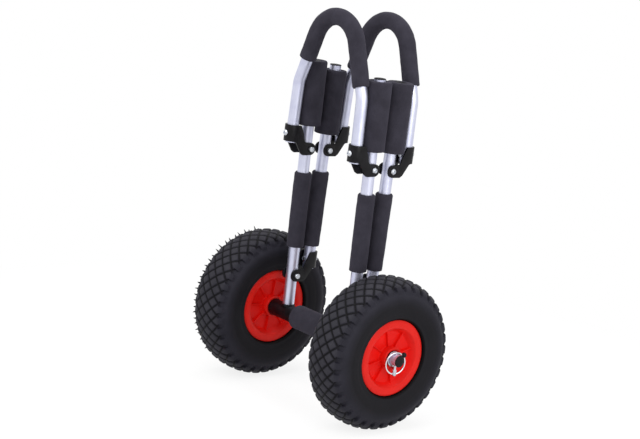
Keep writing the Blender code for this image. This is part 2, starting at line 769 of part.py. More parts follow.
def make_rear_frame(finishes):
    """The rear posts on their lower brackets, hinged low on the front posts."""
    lean = Matrix.Rotation(-REAR_LEAN, 3, "X")
    frame = empty("rear_frame_hinge", None, (0, 0, AXLE_HEIGHT + LOWER_PIVOT), lean)
    for side, sign in SIDES.items():
        x = sign * POST_X
        ends = (LEG_END_HEIGHT, REAR_POST_TOP)
        upper = REAR_UPPER_FOAM[side]
        name = f"rear_post_{side}"
        post = make_post(name, frame, x, BRACKET_REACH, ends, REAR_LOWER_FOAM, upper, finishes)
        bracket = make_bracket(f"lower_bracket_{side}", frame, x, finishes["moulding"])
        clamp_tube(f"lower_clamp_bolt_{side}", frame, x, post, bracket, finishes["steel"])
        spot = (x, BRACKET_REACH, REAR_KNEE)
        drill_across(post, f"rear_knee_bolt_hole_{side}", frame, spot)
        make_pivot_bolt(f"rear_knee_bolt_{side}", frame, spot, sign, finishes["steel"])
    return frame


def loop_path():
    """The arch's centre line as (x, z) points, from the +X leg's end over the top to the other leg's."""
    bend_x = POST_X - LOOP_LEG_INSET
    meeting = LOOP_BEND_HEIGHT + bend_x / math.tan(LOOP_TAPER)
    leg = [(POST_X, LEG_END_HEIGHT), (POST_X, LOOP_LEG_STRAIGHT), (bend_x, LOOP_BEND_HEIGHT)]
    corners = leg + [(0, meeting)] + [(-x, z) for x, z in reversed(leg)]
    bends = [LOOP_BEND_RADIUS] * 2
    radii = bends + [LOOP_ARCH_RADIUS] + bends
    return filleted([Vector(corner) for corner in corners], radii)


def above(path, first, last):
    """The stretch of the arch above one height at its start and another at its end."""
    middle = len(path) // 2
    start = next(index for index in range(middle) if path[index + 1].y > first)
    end = next(index for index in range(len(path) - 1, middle, -1) if path[index - 1].y > last)
    share = (first - path[start].y) / (path[start + 1].y - path[start].y)
    opening = path[start].lerp(path[start + 1], share)
    share = (last - path[end].y) / (path[end - 1].y - path[end].y)
    closing = path[end].lerp(path[end - 1], share)
    return [opening] + path[start + 1 : end] + [closing]


def make_loop(name, hinge, sides, foam_ends, finishes):
    """An arch of tube with its foam grip and two brackets. sides gives each side's local X sign."""
    path = loop_path()
    spot = (0, BRACKET_REACH, 0)
    bm = swept(path, TUBE_RADIUS, TUBE_BORE, LOOP_STEPS)
    tube = solid(f"{name}_loop_tube", bm, finishes["tube"], hinge, spot)
    near = {sign: side for side, sign in sides.items()}
    stretch = above(path, foam_ends[near[1]], foam_ends[near[-1]])
    bm = swept(stretch, LOOP_FOAM_RADIUS, SLEEVE_BORE, LOOP_STEPS)
    solid(f"{name}_loop_foam", bm, finishes["foam"], hinge, spot)
    for side, sign in sides.items():
        x = sign * POST_X
        bracket = make_bracket(f"{name}_knee_bracket_{side}", hinge, x, finishes["moulding"])
        clamp_tube(f"{name}_clamp_bolt_{side}", hinge, x, tube, bracket, finishes["steel"])


def make_front_loop(finishes):
    """The front arch faces forward, so its frame is turned half round: its left is at local +X."""
    turn = Matrix.Rotation(math.pi, 3, "Z") @ Matrix.Rotation(FRONT_LOOP_LEAN, 3, "X")
    hinge = empty("front_loop_hinge", None, (0, 0, AXLE_HEIGHT + FRONT_KNEE), turn)
    sides = {side: -sign for side, sign in SIDES.items()}
    make_loop("front", hinge, sides, FRONT_LOOP_FOAM, finishes)


def make_rear_loop(frame, finishes):
    turn = Matrix.Rotation(REAR_LOOP_LEAN, 3, "X")
    hinge = empty("rear_loop_hinge", frame, (0, BRACKET_REACH, REAR_KNEE), turn)
    make_loop("rear", hinge, SIDES, REAR_LOOP_FOAM, finishes)


def make_linch_pin(side, sign, finishes):
    """The pin that holds a wheel on, and the ring that swings over the axle's end to lock it."""
    spot = (sign * PIN_X, 0, AXLE_HEIGHT)
    chamfer = PIN_RADIUS / 3
    top = TUBE_RADIUS
    outline = [
        (0, top),
        (PIN_RADIUS - chamfer, top),
        (PIN_RADIUS, top - chamfer),
        (PIN_RADIUS, PIN_NECK),
        (PIN_HEAD_RADIUS, PIN_NECK),
        (PIN_HEAD_RADIUS, PIN_HEAD_END + chamfer),
        (PIN_HEAD_RADIUS - chamfer, PIN_HEAD_END),
        (0, PIN_HEAD_END),
    ]
    shank = turned(outline, BOLT_STEPS, closed=False)
    pin = solid(f"linch_pin_{side}", shank, finishes["steel"], None, spot)
    along = Vector((sign * math.sin(RING_TURN), math.cos(RING_TURN), 0))
    eye_spot = (spot[0], 0, AXLE_HEIGHT + PIN_EYE)
    turn = Matrix.Rotation(-sign * RING_TURN, 3, "Z")
    hinge = empty(f"linch_ring_{side}_hinge", None, eye_spot, turn)
    reach = 2 * PIN_HEAD_RADIUS
    eye = cut_cylinder(f"linch_eye_{side}", PIN_EYE_RADIUS, reach, None, eye_spot, facing(along))
    combine(pin, eye, "DIFFERENCE")
    wire = [(RING_RADIUS + x, z) for x, z in arc((0, 0), RING_WIRE, 0, math.tau, math.tau / WIRE_STEPS)]
    ring_centre = (0, 0, RING_RADIUS)
    ring = turned(wire[:-1][::-1], RIM_STEPS)
    solid(f"linch_ring_{side}", ring, finishes["steel"], hinge, ring_centre, facing((1, 0, 0)))
    make_knob(side, hinge, finishes["plug"])


def make_knob(side, hinge, material):
    """The bead that the ring's wire runs through, set off to the outside of the ring."""
    bands = [math.pi * index / KNOB_BANDS for index in range(KNOB_BANDS + 1)]
    ball = [(KNOB_RADIUS * math.sin(angle), KNOB_RADIUS * math.cos(angle)) for angle in bands]
    outward = Vector((0, math.cos(KNOB_PLACE), math.sin(KNOB_PLACE)))
    along = facing((0, -outward.z, outward.y))
    on_wire = Vector((0, 0, RING_RADIUS)) + outward * RING_RADIUS
    middle = on_wire + outward * KNOB_OFFSET
    knob = turned(ball, BOLT_STEPS, closed=False)
    knob = solid(f"linch_knob_{side}", knob, material, hinge, middle, along)
    bore = cut_cylinder(f"linch_knob_bore_{side}", KNOB_BORE, 2 * KNOB_RADIUS, hinge, on_wire, along)
    combine(knob, bore, "DIFFERENCE")


def main():
    clear_scene()
    finishes = {
        "tyre": finish("tyre rubber", (0.021, 0.021, 0.025), 0.80),
        "rim": finish("red moulded plastic", (0.68, 0.013, 0.010), 0.38),
        "bush": finish("black nylon", (0.020, 0.020, 0.022), 0.45),
        "tube": finish("anodised aluminium", (0.72, 0.74, 0.80), 0.35, 1.0),
        "plug": finish("black end plug", (0.018, 0.018, 0.020), 0.50),
        "moulding": finish("black moulded plastic", (0.017, 0.016, 0.019), 0.45),
        "foam": finish("charcoal foam", (0.048, 0.045, 0.062), 0.95),
        "steel": finish("zinc-plated steel", (0.70, 0.70, 0.72), 0.28, 1.0),
    }
    make_axle(finishes)
    make_front_posts(finishes)
    frame = make_rear_frame(finishes)
    make_front_loop(finishes)
    make_rear_loop(frame, finishes)
    for side, sign in SIDES.items():
        make_wheel(side, sign, finishes)
        make_linch_pin(side, sign, finishes)


main()
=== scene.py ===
"""A folding board cart, folded and standing on its wheels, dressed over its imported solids.

Metres, +Z up, +X along the axle to the cart's right, +Y to its rear, the ground at Z = 0.
"""

import json
import math
import random

import bmesh
import bpy
import numpy as np
from mathutils import Matrix, Vector, noise


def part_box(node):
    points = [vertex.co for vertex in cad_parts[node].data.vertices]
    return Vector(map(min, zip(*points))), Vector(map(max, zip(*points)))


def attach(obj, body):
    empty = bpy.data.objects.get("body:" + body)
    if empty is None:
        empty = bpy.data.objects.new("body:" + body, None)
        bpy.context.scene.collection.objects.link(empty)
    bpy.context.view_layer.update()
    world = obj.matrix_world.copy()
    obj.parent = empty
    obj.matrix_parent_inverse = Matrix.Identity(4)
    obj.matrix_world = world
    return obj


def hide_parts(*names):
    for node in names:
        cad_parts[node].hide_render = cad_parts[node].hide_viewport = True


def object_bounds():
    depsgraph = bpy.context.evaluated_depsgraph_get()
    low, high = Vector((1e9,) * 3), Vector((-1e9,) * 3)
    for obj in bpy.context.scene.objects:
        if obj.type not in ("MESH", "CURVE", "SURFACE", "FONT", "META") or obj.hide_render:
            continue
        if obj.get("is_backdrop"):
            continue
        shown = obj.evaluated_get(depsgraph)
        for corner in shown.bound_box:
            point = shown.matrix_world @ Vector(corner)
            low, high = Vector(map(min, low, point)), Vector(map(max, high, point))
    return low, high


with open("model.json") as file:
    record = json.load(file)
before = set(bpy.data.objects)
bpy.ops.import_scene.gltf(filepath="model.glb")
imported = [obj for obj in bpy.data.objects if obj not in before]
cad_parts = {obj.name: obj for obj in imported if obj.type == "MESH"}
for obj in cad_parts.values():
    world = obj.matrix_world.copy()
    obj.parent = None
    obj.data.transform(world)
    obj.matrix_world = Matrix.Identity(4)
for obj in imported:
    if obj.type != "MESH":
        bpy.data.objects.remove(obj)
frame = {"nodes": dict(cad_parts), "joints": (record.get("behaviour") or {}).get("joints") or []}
cad_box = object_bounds()

SIDES = {"left": -1, "right": 1}
HINGES = {joint["name"]: Vector(joint["pos_m"]) for joint in frame["joints"]}
GAP = 0.0003  # the clearance between fitted pieces
QUARTER = math.pi / 2
ACROSS, BACKWARD, UPWARD = Vector((1, 0, 0)), Vector((0, 1, 0)), Vector((0, 0, 1))
HERE = Matrix.Identity(4)

# Facets
ROUND_STEPS = 64
BOLT_STEPS = 32
WIRE_STEPS = 14
ARC_STEP = math.radians(4)
ROUNDING_STEP = math.radians(18)
RING_BEAD_STEP = math.radians(12)
END_ROWS = 6
SKIN_WAVES = 38  # waves in a metre of foam skin round a sleeve, and twice as many along it
SHARP_ANGLE = math.radians(38)
BEVEL_ANGLE = math.radians(35)


def extent(node, turn=HERE):
    """Lowest and highest corner of a solid, measured in a turned frame."""
    back = turn.inverted()
    corners = [back @ vertex.co for vertex in frame["nodes"][node].data.vertices]
    return Vector(map(min, *corners)), Vector(map(max, *corners))


def facing(direction, origin=(0, 0, 0)):
    """A frame at a point, with its Z along a direction."""
    return Matrix.Translation(origin) @ Vector(direction).to_track_quat("Z", "Y").to_matrix().to_4x4()


def middle(node):
    """The middle of a solid's box."""
    return [(low + high) / 2 for low, high in zip(*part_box(node))]


# Finishes

MIX_A, MIX_B, MIX_RESULT = 6, 7, 2  # the colour sockets of a Mix node
# the heights over which the rim's painted shading goes from the web's stronger red to the flange's paler red
RIM_WEB_HEIGHT, RIM_EDGE_HEIGHT = 0.028, 0.036  # on a rim half, from the wheel's mid-plane


def to_linear(code):
    """An sRGB hex colour as linear RGBA."""
    parts = [int(code[start : start + 2], 16) / 255 for start in (1, 3, 5)]
    return (*[p / 12.92 if p <= 0.04045 else ((p + 0.055) / 1.055) ** 2.4 for p in parts], 1.0)


def level(value):
    """A plain level as a grey RGBA."""
    return (value, value, value, 1.0)


def feed(tree, node, inputs):
    """Gives a node's sockets their values and hex colours, or links them to another node's output."""
    for socket, value in inputs.items():
        if isinstance(value, bpy.types.NodeSocket):
            tree.links.new(value, node.inputs[socket])
        else:
            node.inputs[socket].default_value = to_linear(value) if isinstance(value, str) else value


def add(tree, kind, inputs=None, stops=(), out=0, **settings):
    """Adds a node and returns its first output, or the one that out names. settings are its own options,
    inputs go to feed, and stops are a ramp's places with their hex colours or plain levels."""
    made = tree.nodes.new("ShaderNode" + kind)
    for option, value in settings.items():
        setattr(made, option, value)
    feed(tree, made, inputs or {})
    while stops and len(made.color_ramp.elements) < len(stops):
        made.color_ramp.elements.new(0.5)
    for index, (place, shade) in enumerate(stops):
        made.color_ramp.elements[index].position = place
        made.color_ramp.elements[index].color = to_linear(shade) if isinstance(shade, str) else level(shade)
    return made.outputs[out]


def finish(name, colour, roughness, ior=1.5, metallic=0.0, specular=0.5):
    """A new material and its node tree, with its shader's plain values. A metal keeps the shader's own
    index."""
    material = bpy.data.materials.new(name)
    material.use_nodes = True
    tree = material.node_tree
    values = {"Base Color": colour, "Roughness": roughness, "Metallic": metallic}
    values["Specular IOR Level"] = specular
    feed(tree, tree.nodes["Principled BSDF"], values if metallic else {**values, "IOR": ior})
    return material, tree


def coat(material, tone, veil=None, satin=None, relief=None, **values):
    """Turns patterns into a material's finish. tone and veil are (pattern, stops) pairs that are multiplied
    into the colour, satin is one for the roughness, relief is (pattern, strength, depth in metres), and
    values are the shader's other sockets."""
    tree = material.node_tree
    colour = add(tree, "ValToRGB", {"Fac": tone[0]}, tone[1])
    if veil:
        sides = {0: 1.0, MIX_A: colour, MIX_B: add(tree, "ValToRGB", {"Fac": veil[0]}, veil[1])}
        colour = add(tree, "Mix", sides, out=MIX_RESULT, data_type="RGBA", blend_type="MULTIPLY")
    sockets = {"Base Color": colour, **values}
    if satin:
        sockets["Roughness"] = add(tree, "ValToRGB", {"Fac": satin[0]}, satin[1])
    if relief:
        pattern, strength, depth = relief
        bump = {"Height": pattern, "Strength": strength, "Distance": depth}
        sockets["Normal"] = add(tree, "Bump", bump)
    feed(tree, tree.nodes["Principled BSDF"], sockets)
    return material


def per_metre(millimetres):
    """The scale of a pattern whose features are so many millimetres apart."""
    return 1000.0 / millimetres


def moulded_rubber():
    """Natural rubber out of a steel mould: grooves painted near black as shade in the recesses, block tops
    paler, a painted highlight on the shoulder that fades into a darker side, a painted shadow ring at the
    bead, and a patchy cool bloom of wax. Its fine pores dull the shine."""
    material, tree = finish("natural rubber, moulded", "#1c1c1e", 0.6, ior=1.52, specular=0.1)
    spot = add(tree, "TexCoord", out="Object")
    painted_tread_shade = add(tree, "Attribute", out="Fac", attribute_name="painted_tread_shade")
    bloom = add(tree, "TexNoise", {"Vector": spot, "Scale": per_metre(35), "Detail": 5.0})
    grain = add(tree, "TexNoise", {"Vector": spot, "Scale": per_metre(1.1), "Detail": 3.0})
    return coat(
        material,
        # painted shade and light: black in the grooves and the bead's shadow ring, paler on block tops, and
        # the shoulder's painted highlight between
        tone=(painted_tread_shade, [(0.0, "#050507"), (0.4, "#1b1a1e"), (0.7, "#2a2931"), (1.0, "#38373d")]),
        veil=(bloom, [(0.35, "#d6d6da"), (0.7, "#ffffff")]),
        satin=(bloom, [(0.3, 0.52), (0.75, 0.7)]),
        relief=(grain, 0.25, 0.0004),
    )


def moulded_polypropylene():
    """Red polypropylene, injection moulded: its red changes with height from the wheel's mid-plane, a
    stronger red painted into the recessed web between the ribs against its shade and the raised flange a
    little paler as a painted highlight, and shrinkage leaves a soft ripple."""
    material, tree = finish("polypropylene, injection moulded", "#e0211a", 0.36, ior=1.49, specular=0.12)
    lay = add(tree, "Attribute", out="Vector", attribute_name="lay")
    height = add(tree, "SeparateXYZ", {0: lay}, out="Z")
    ends = {"Value": height, "From Min": RIM_WEB_HEIGHT, "From Max": RIM_EDGE_HEIGHT}
    painted_height_shade = add(tree, "MapRange", ends)
    flow = add(tree, "TexNoise", {"Vector": lay, "Scale": per_metre(28), "Detail": 3.0})
    scuffs = add(tree, "TexNoise", {"Vector": lay, "Scale": per_metre(6), "Detail": 6.0})
    ripple = add(tree, "TexNoise", {"Vector": lay, "Scale": per_metre(3.5), "Detail": 2.0})
    return coat(
        material,
        # painted light: the recessed web's stronger red makes up for its shade, and the flange's paler red is
        # a painted highlight
        tone=(painted_height_shade, [(0.1, "#e2160f"), (0.85, "#da221b")]),
        veil=(flow, [(0.3, "#f4e8e8"), (0.7, "#ffffff")]),
        satin=(scuffs, [(0.35, 0.3), (0.7, 0.44)]),
        relief=(ripple, 0.1, 0.0004),
    )


def moulded_nylon():
    """Black glass-filled nylon, injection moulded: a fine spark-eroded skin that breaks up the shine,
    rubbed greyer where hands and straps pass."""
    material, tree = finish("glass-filled nylon, injection moulded", "#0e0d10", 0.42, ior=1.53, specular=0.16)
    spot = add(tree, "TexCoord", out="Object")
    rubbed = add(tree, "TexNoise", {"Vector": spot, "Scale": per_metre(12), "Detail": 6.0})
    skin = add(tree, "TexNoise", {"Vector": spot, "Scale": per_metre(0.9), "Detail": 2.0})
    return coat(
        material,
        tone=(rubbed, [(0.4, "#0c0b0e"), (0.72, "#17161a")]),
        satin=(rubbed, [(0.35, 0.34), (0.7, 0.5)]),
        relief=(skin, 0.2, 0.0002),
    )


def moulded_polyethylene():
    """Black polyethylene, injection moulded: softer than nylon, so it is duller and shows fine rub marks."""
    material, tree = finish("polyethylene, injection moulded", "#151416", 0.55, ior=1.51, specular=0.16)
    spot = add(tree, "TexCoord", out="Object")
    marks = add(tree, "TexNoise", {"Vector": spot, "Scale": per_metre(4), "Detail": 5.0})
    return coat(
        material,
        tone=(marks, [(0.4, "#101012"), (0.7, "#19181b")]),
        relief=(marks, 0.12, 0.0003),
    )


def turned_nylon():
    """Black nylon, turned: faint tool rings round the bush."""
    material, tree = finish("nylon, turned", "#222124", 0.42, ior=1.53)
    lay = add(tree, "Attribute", out="Vector", attribute_name="lay")
    waves = {"Vector": lay, "Scale": per_metre(0.8) / math.tau, "Distortion": 0.4}
    rings = add(tree, "TexWave", waves, out="Fac", bands_direction="Z")
    return coat(material, tone=(rings, [(0.0, "#1e1d20"), (1.0, "#29282c")]), relief=(rings, 0.15, 0.0001))


def extruded_foam():
    """Nitrile rubber foam, extruded into sleeves: tiny closed cells under a matt skin swallow the light, and
    their pits are painted a little darker as shade, so it looks flat and sooty with a slight violet cast. The
    cells are drawn at twice their real size, so that they show."""
    material, tree = finish("nitrile rubber foam, extruded", "#2f2d35", 0.93, ior=1.45, specular=0.15)
    spot = add(tree, "TexCoord", out="Object")
    cells = add(tree, "TexVoronoi", {"Vector": spot, "Scale": per_metre(1.6)}, out="Distance")
    patches = add(tree, "TexNoise", {"Vector": spot, "Scale": per_metre(22), "Detail": 6.0})
    nap = {"Sheen Weight": 0.1, "Sheen Roughness": 0.6, "Sheen Tint": "#b4b0c8"}
    return coat(
        material,
        tone=(patches, [(0.32, "#2b2931"), (0.7, "#36343d")]),
        # painted shade: each cell's pit a little darker
        veil=(cells, [(0.0, "#d6d4da"), (0.45, "#ffffff")]),
        satin=(patches, [(0.3, 0.88), (0.7, 0.98)]),
        relief=(cells, 0.5, 0.0003),
        **nap,
    )


def drawn_aluminium():
    """Aluminium tube, drawn and clear anodised: bluish silver, with hairlines from the die along the
    tube under a satin oxide skin, and dull handling marks."""
    material, tree = finish("aluminium, drawn and anodised", "#d4d6e8", 0.46, metallic=1.0)
    lay = add(tree, "Attribute", out="Vector", attribute_name="lay")
    along_tube = (per_metre(0.7), per_metre(0.7), per_metre(45))
    stretched = add(tree, "Mapping", {"Vector": lay, "Scale": along_tube})
    lines = add(tree, "TexNoise", {"Vector": stretched, "Scale": 1.0, "Detail": 3.0})
    smudges = add(tree, "TexNoise", {"Vector": lay, "Scale": per_metre(18), "Detail": 5.0})
    return coat(
        material,
        tone=(lines, [(0.3, "#cfd1e4"), (0.7, "#dadcee")]),
        veil=(smudges, [(0.4, "#ffffff"), (0.75, "#f0f0f6")]),
        satin=(smudges, [(0.35, 0.42), (0.75, 0.5)]),
        relief=(lines, 0.12, 0.0001),
    )


def plated_steel():
    """Steel bolts, zinc plated in a barrel: bright bluish grey, mottled by the crystals and by the knocks
    of tumbling."""
    material, tree = finish("steel, zinc plated", "#c9ccd2", 0.28, metallic=1.0)
    spot = add(tree, "TexCoord", out="Object")
    mottle = add(tree, "TexNoise", {"Vector": spot, "Scale": per_metre(2.2), "Detail": 5.0})
    return coat(
        material,
        tone=(mottle, [(0.35, "#b3b8c2"), (0.68, "#dcdee2")]),
        satin=(mottle, [(0.3, 0.2), (0.7, 0.38)]),
        relief=(mottle, 0.12, 0.0001),
    )


def drawn_wire():
    """Stainless spring wire, drawn: hard and bright, with short scratches where it rubs the pin."""
    material, tree = finish("stainless steel wire, drawn", "#dfe1e6", 0.16, metallic=1.0)
    spot = add(tree, "TexCoord", out="Object")
    rubs = add(tree, "TexNoise", {"Vector": spot, "Scale": per_metre(1.5), "Detail": 4.0})
    shades = [(0.3, "#d3d5db"), (0.7, "#eceef2")]
    return coat(material, tone=(rubs, shades), satin=(rubs, [(0.4, 0.12), (0.75, 0.3)]))


RUBBER = moulded_rubber()
RED_PLASTIC = moulded_polypropylene()
NYLON = moulded_nylon()
END_PLASTIC = moulded_polyethylene()
BUSH_NYLON = turned_nylon()
FOAM = extruded_foam()
TUBE_METAL = drawn_aluminium()
BOLT_STEEL = plated_steel()
WIRE_STEEL = drawn_wire()


# Shaping


def moved(bm, matrix):
    """A mesh after a turn or a shift."""
    bmesh.ops.transform(bm, matrix=matrix, verts=bm.verts)
    return bm


def placed(name, data, turn=HERE):
    """Puts data into the scene as an object."""
    item = bpy.data.objects.new(name, data)
    bpy.context.scene.collection.objects.link(item)
    item.matrix_world = turn
    return item


def piece(name, bm, material, body, nodes=(), turn=HERE, sharp=SHARP_ANGLE):
    """Places a closed mesh in the cart's frame. Its own straight coordinates stay in "lay"."""
    lay = bm.verts.layers.float_vector.get("lay")
    if lay is None:
        lay = bm.verts.layers.float_vector.new("lay")
        for vertex in bm.verts:
            vertex[lay] = vertex.co
    bmesh.ops.recalc_face_normals(moved(bm, turn), faces=bm.faces)
    mesh = bpy.data.meshes.new(name)
    bm.to_mesh(mesh)
    bm.free()
    mesh.shade_smooth()
    mesh.set_sharp_from_angle(angle=sharp)
    mesh.materials.append(material)
    item = placed(name, mesh)
    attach(item, body)
    if nodes:
        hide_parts(*nodes)
    return item


def join(bm, *rings):
    """Faces between rings of corners, each of which may be a single point."""
    for ring, other in zip(rings, rings[1:]):
        for index in range(max(len(ring), len(other))):
            following = index + 1
            corners = [ring[index % len(ring)], ring[following % len(ring)]]
            corners += [other[following % len(other)], other[index % len(other)]]
            bm.faces.new(list(dict.fromkeys(corners)))


def turned(outline, steps=ROUND_STEPS):
    """Spins an outline of (radius, height) points about Z. One that ends on the axis closes there."""
    bm = bmesh.new()
    rings = []
    for radius, height in outline:
        count = steps if radius > GAP / 10 else 1
        angles = [math.tau * step / count for step in range(count)]
        reach = radius if count > 1 else 0.0
        rings.append([bm.verts.new((reach * math.cos(a), reach * math.sin(a), height)) for a in angles])
    join(bm, *rings)
    if len(rings[0]) > 1 or len(rings[-1]) > 1:
        join(bm, rings[-1], rings[0])
    return bm


def lathed(corners, steps=ROUND_STEPS):
    """Spins an outline whose corners are given as (radius, height, rounding)."""
    return turned(softened(corners), steps)


def lathed_ring(bore, radius, low, high, rounding):
    """A round hollow piece along Z with softened edges."""
    return lathed([(r, z, rounding) for r, z in ((radius, high), (radius, low), (bore, low), (bore, high))])


def rounded(before, corner, after, radius, step, least):
    """The arc that rounds a corner of a line, as points."""
    arriving = (corner - before).normalized()
    turning = -arriving.angle_signed((after - corner).normalized())
    start = corner - arriving * radius * math.tan(abs(turning) / 2)
    inward = Vector((-arriving.y, arriving.x)) * math.copysign(radius, turning)
    count = max(least, math.ceil(abs(turning) / step))
    return [start + inward + Matrix.Rotation(turning * k / count, 2) @ -inward for k in range(count + 1)]


def softened(corners):
    """A closed outline whose corners, given as (x, y, rounding), are rounded by arcs."""
    points = []
    for index, (x, y, rounding) in enumerate(corners):
        corner = Vector((x, y))
        before, after = Vector(corners[index - 1][:2]), Vector(corners[(index + 1) % len(corners)][:2])
        points += rounded(before, corner, after, rounding, ROUNDING_STEP, 2) if rounding else [corner]
    return points


def filleted(corners, radii):
    """An open line through corners, each rounded to its radius."""
    path = [corners[0]]
    for before, corner, after, radius in zip(corners, corners[1:], corners[2:], radii):
        path += rounded(before, corner, after, radius, ARC_STEP, 1)
    return path + [corners[-1]]


def arc(centre, radius, start, end, step=ARC_STEP):
    """Points on an arc, both ends included."""
    count = max(1, math.ceil(abs(end - start) / step - 1e-6))
    angles = [start + (end - start) * index / count for index in range(count + 1)]
    return [Vector((centre[0] + radius * math.cos(a), centre[1] + radius * math.sin(a))) for a in angles]


def walked(path, step):
    """A line cut into even steps, as (point, distance) pairs."""
    spots = [(path[0], 0.0)]
    travelled = 0.0
    for here, there in zip(path, path[1:]):
        span = (there - here).length
        count = max(1, round(span / step))
        for index in range(1, count + 1):
            spots.append((here.lerp(there, index / count), travelled + span * index / count))
        travelled += span
    return spots


def ring_places(spots, rounding):
    """Where a sleeve's rings go: at every step, and close together over its rounded ends."""
    length = spots[-1][1]
    bends = [rounding * (1 - math.cos(QUARTER * k / END_ROWS)) for k in range(END_ROWS)]
    wanted = sorted({*bends, *[length - bend for bend in bends], *[distance for _, distance in spots]})
    return [d for d in wanted if min(d, length - d) in bends or rounding < d < length - rounding]


def on_line(spots, distance):
    """The point at a distance along a walked line, and the line's direction there."""
    index = next(i for i, spot in enumerate(spots) if spot[1] >= distance - 1e-9)
    if index == 0:
        return spots[0][0], (spots[1][0] - spots[0][0]).normalized()
    (before, start), (after, end) = spots[index - 1], spots[index]
    beyond = spots[min(index + 1, len(spots) - 1)][0]
    along = beyond - before if distance > end - 1e-6 else after - before
    return before.lerp(after, (distance - start) / (end - start)), along.normalized()


def swept(path, outer, bore, step, rounding, waviness=0.0):
    """A hollow sleeve along a line of (x, z) points: outer is its radius, its end edges are rounded, and
    waviness is how far its skin wanders. Straight coordinates go into "lay"."""
    bm = bmesh.new()
    lay = bm.verts.layers.float_vector.new("lay")
    spots = walked(path, step)
    length = spots[-1][1]
    outside, inside = [], []
    for distance in ring_places(spots, rounding):
        point, along = on_line(spots, distance)
        across = Vector((along.y, -along.x))
        edge = min(distance, length - distance, rounding)
        drop = rounding - math.sqrt(max(0.0, rounding**2 - (rounding - edge) ** 2))
        for rings, radius in ((outside, outer - drop), (inside, bore)):
            ring = []
            for turn in range(ROUND_STEPS):
                angle = math.tau * turn / ROUND_STEPS
                straight = Vector((math.cos(angle), math.sin(angle), 0))
                reach = radius
                if waviness and rings is outside:
                    place = straight * radius + Vector((point.x, point.y, distance)) * 2
                    reach += waviness * noise.noise(place * SKIN_WAVES)
                spot = point + across * reach * math.cos(angle)
                vertex = bm.verts.new((spot.x, reach * math.sin(angle), spot.y))
                vertex[lay] = straight * reach + UPWARD * distance
                ring.append(vertex)
            rings.append(ring)
    join(bm, *outside)
    join(bm, *inside)
    join(bm, outside[0], inside[0])
    join(bm, outside[-1], inside[-1])
    return bm


def prism(outline, low, high):
    """A closed outline of (x, y) points, extruded along Z."""
    bm = bmesh.new()
    base = [bm.verts.new((x, y, low)) for x, y in outline]
    top = [bm.verts.new((x, y, high)) for x, y in outline]
    bm.faces.new(base[::-1])
    bm.faces.new(top)
    join(bm, base, top)
    return bm


def drill(radius, reach, place, steps=BOLT_STEPS):
    """A round bar along Z of a turned frame, reaching both ways from its origin, that cuts a hole."""
    return moved(turned([(0, -reach), (radius, -reach), (radius, reach), (0, reach)], steps), place)


def scrap(bm):
    """A passing object that only shapes another one."""
    bmesh.ops.recalc_face_normals(bm, faces=bm.faces)
    mesh = bpy.data.meshes.new("scrap")
    bm.to_mesh(mesh)
    bm.free()
    return placed("scrap", mesh)


def worked(bm, cuts, bevel=0.0):
    """A solid after Booleans with other solids, given as (operation, bmesh), and a bevel on its edges."""
    item = scrap(bm)
    tools = [(operation, scrap(other)) for operation, other in cuts]
    for operation, tool in tools:
        modifier = item.modifiers.new(operation, "BOOLEAN")
        modifier.operation, modifier.solver, modifier.object = operation, "EXACT", tool
    if bevel:
        modifier = item.modifiers.new("bevel", "BEVEL")
        modifier.width, modifier.segments = bevel, 2
        modifier.limit_method, modifier.angle_limit = "ANGLE", BEVEL_ANGLE
        modifier.use_clamp_overlap = True
    bpy.context.view_layer.update()
    graph = bpy.context.evaluated_depsgraph_get()
    result = bmesh.new()
    result.from_mesh(item.evaluated_get(graph).to_mesh())
    for used in [item] + [tool for _, tool in tools]:
        bpy.data.meshes.remove(used.data)
    return result


# Wheels

TREAD_PITCHES = 36
PITCH_COLUMNS = 16
COLUMNS = TREAD_PITCHES * PITCH_COLUMNS
GROOVE_DEPTH = 0.0024
EVEN_DEPTH = GROOVE_DEPTH / 50
GROOVE_HALF_WIDTH = 0.0018
GROOVE_SHAPE = (1.0, 0.9, 0.34, 0.12, 0.05, 0.02)  # share of the depth, by columns from its middle
CROSSING_SHARE = 0.15  # how much of it only the crossings have
BLOCK_ROWS = 24  # rows and columns are steps of the grid, counted from the crown's middle
LUG_ROWS = 29
LUG_RUNOUT = 7
LUG_HALF_COLUMNS = 4.0
LUG_SLOPE = 1.0
LUG_CUT_ROWS = (20, 25)
LUG_CUT = 0.9  # how much deeper the gaps between the lugs are than the grooves
# distances from the crown's middle over which the grooves, their painted shade and the shoulder's painted
# highlight run out
GROOVE_FADE = (0.036, 0.060)
BLOCK_SHADE_ENDS = (0.028, 0.040)
# the shoulder's painted highlight, and how much it falls towards the side
SHOULDER_SHADE = 0.7
SHOULDER_FALL = 0.3
SHOULDER_SHADE_ENDS = (0.048, 0.072)
CROWN_SQUARENESS = 2.5  # 2 is a round crown
WIDEST_RADIUS = 0.097
SIDEWALL_DEPTH = 0.084
SIDEWALL_ROWS = 24
SIDEWALL_HOLLOWS = ((0.0915, 0.0040, 0.0004), (0.0745, 0.0050, 0.0006))  # radius, half width, depth
BEAD_RADIUS = 0.0666
# how far past the bead the painted shadow ring reaches
BEAD_SHADOW = 0.0018
BEAD_ROLL = 0.0028
BEAD_HEEL = 0.005
SEAT_RADIUS = 0.0603
BEAD_INSIDE = 0.0327
SECTION_POINTS = 600
TYRE_SHARP_ANGLE = math.radians(62)


def eased(place, ends=(0, 1)):
    """Goes smoothly from 0 to 1 between two places."""
    share = np.clip((place - ends[0]) / (ends[1] - ends[0]), 0, 1)
    return share * share * (3 - 2 * share)


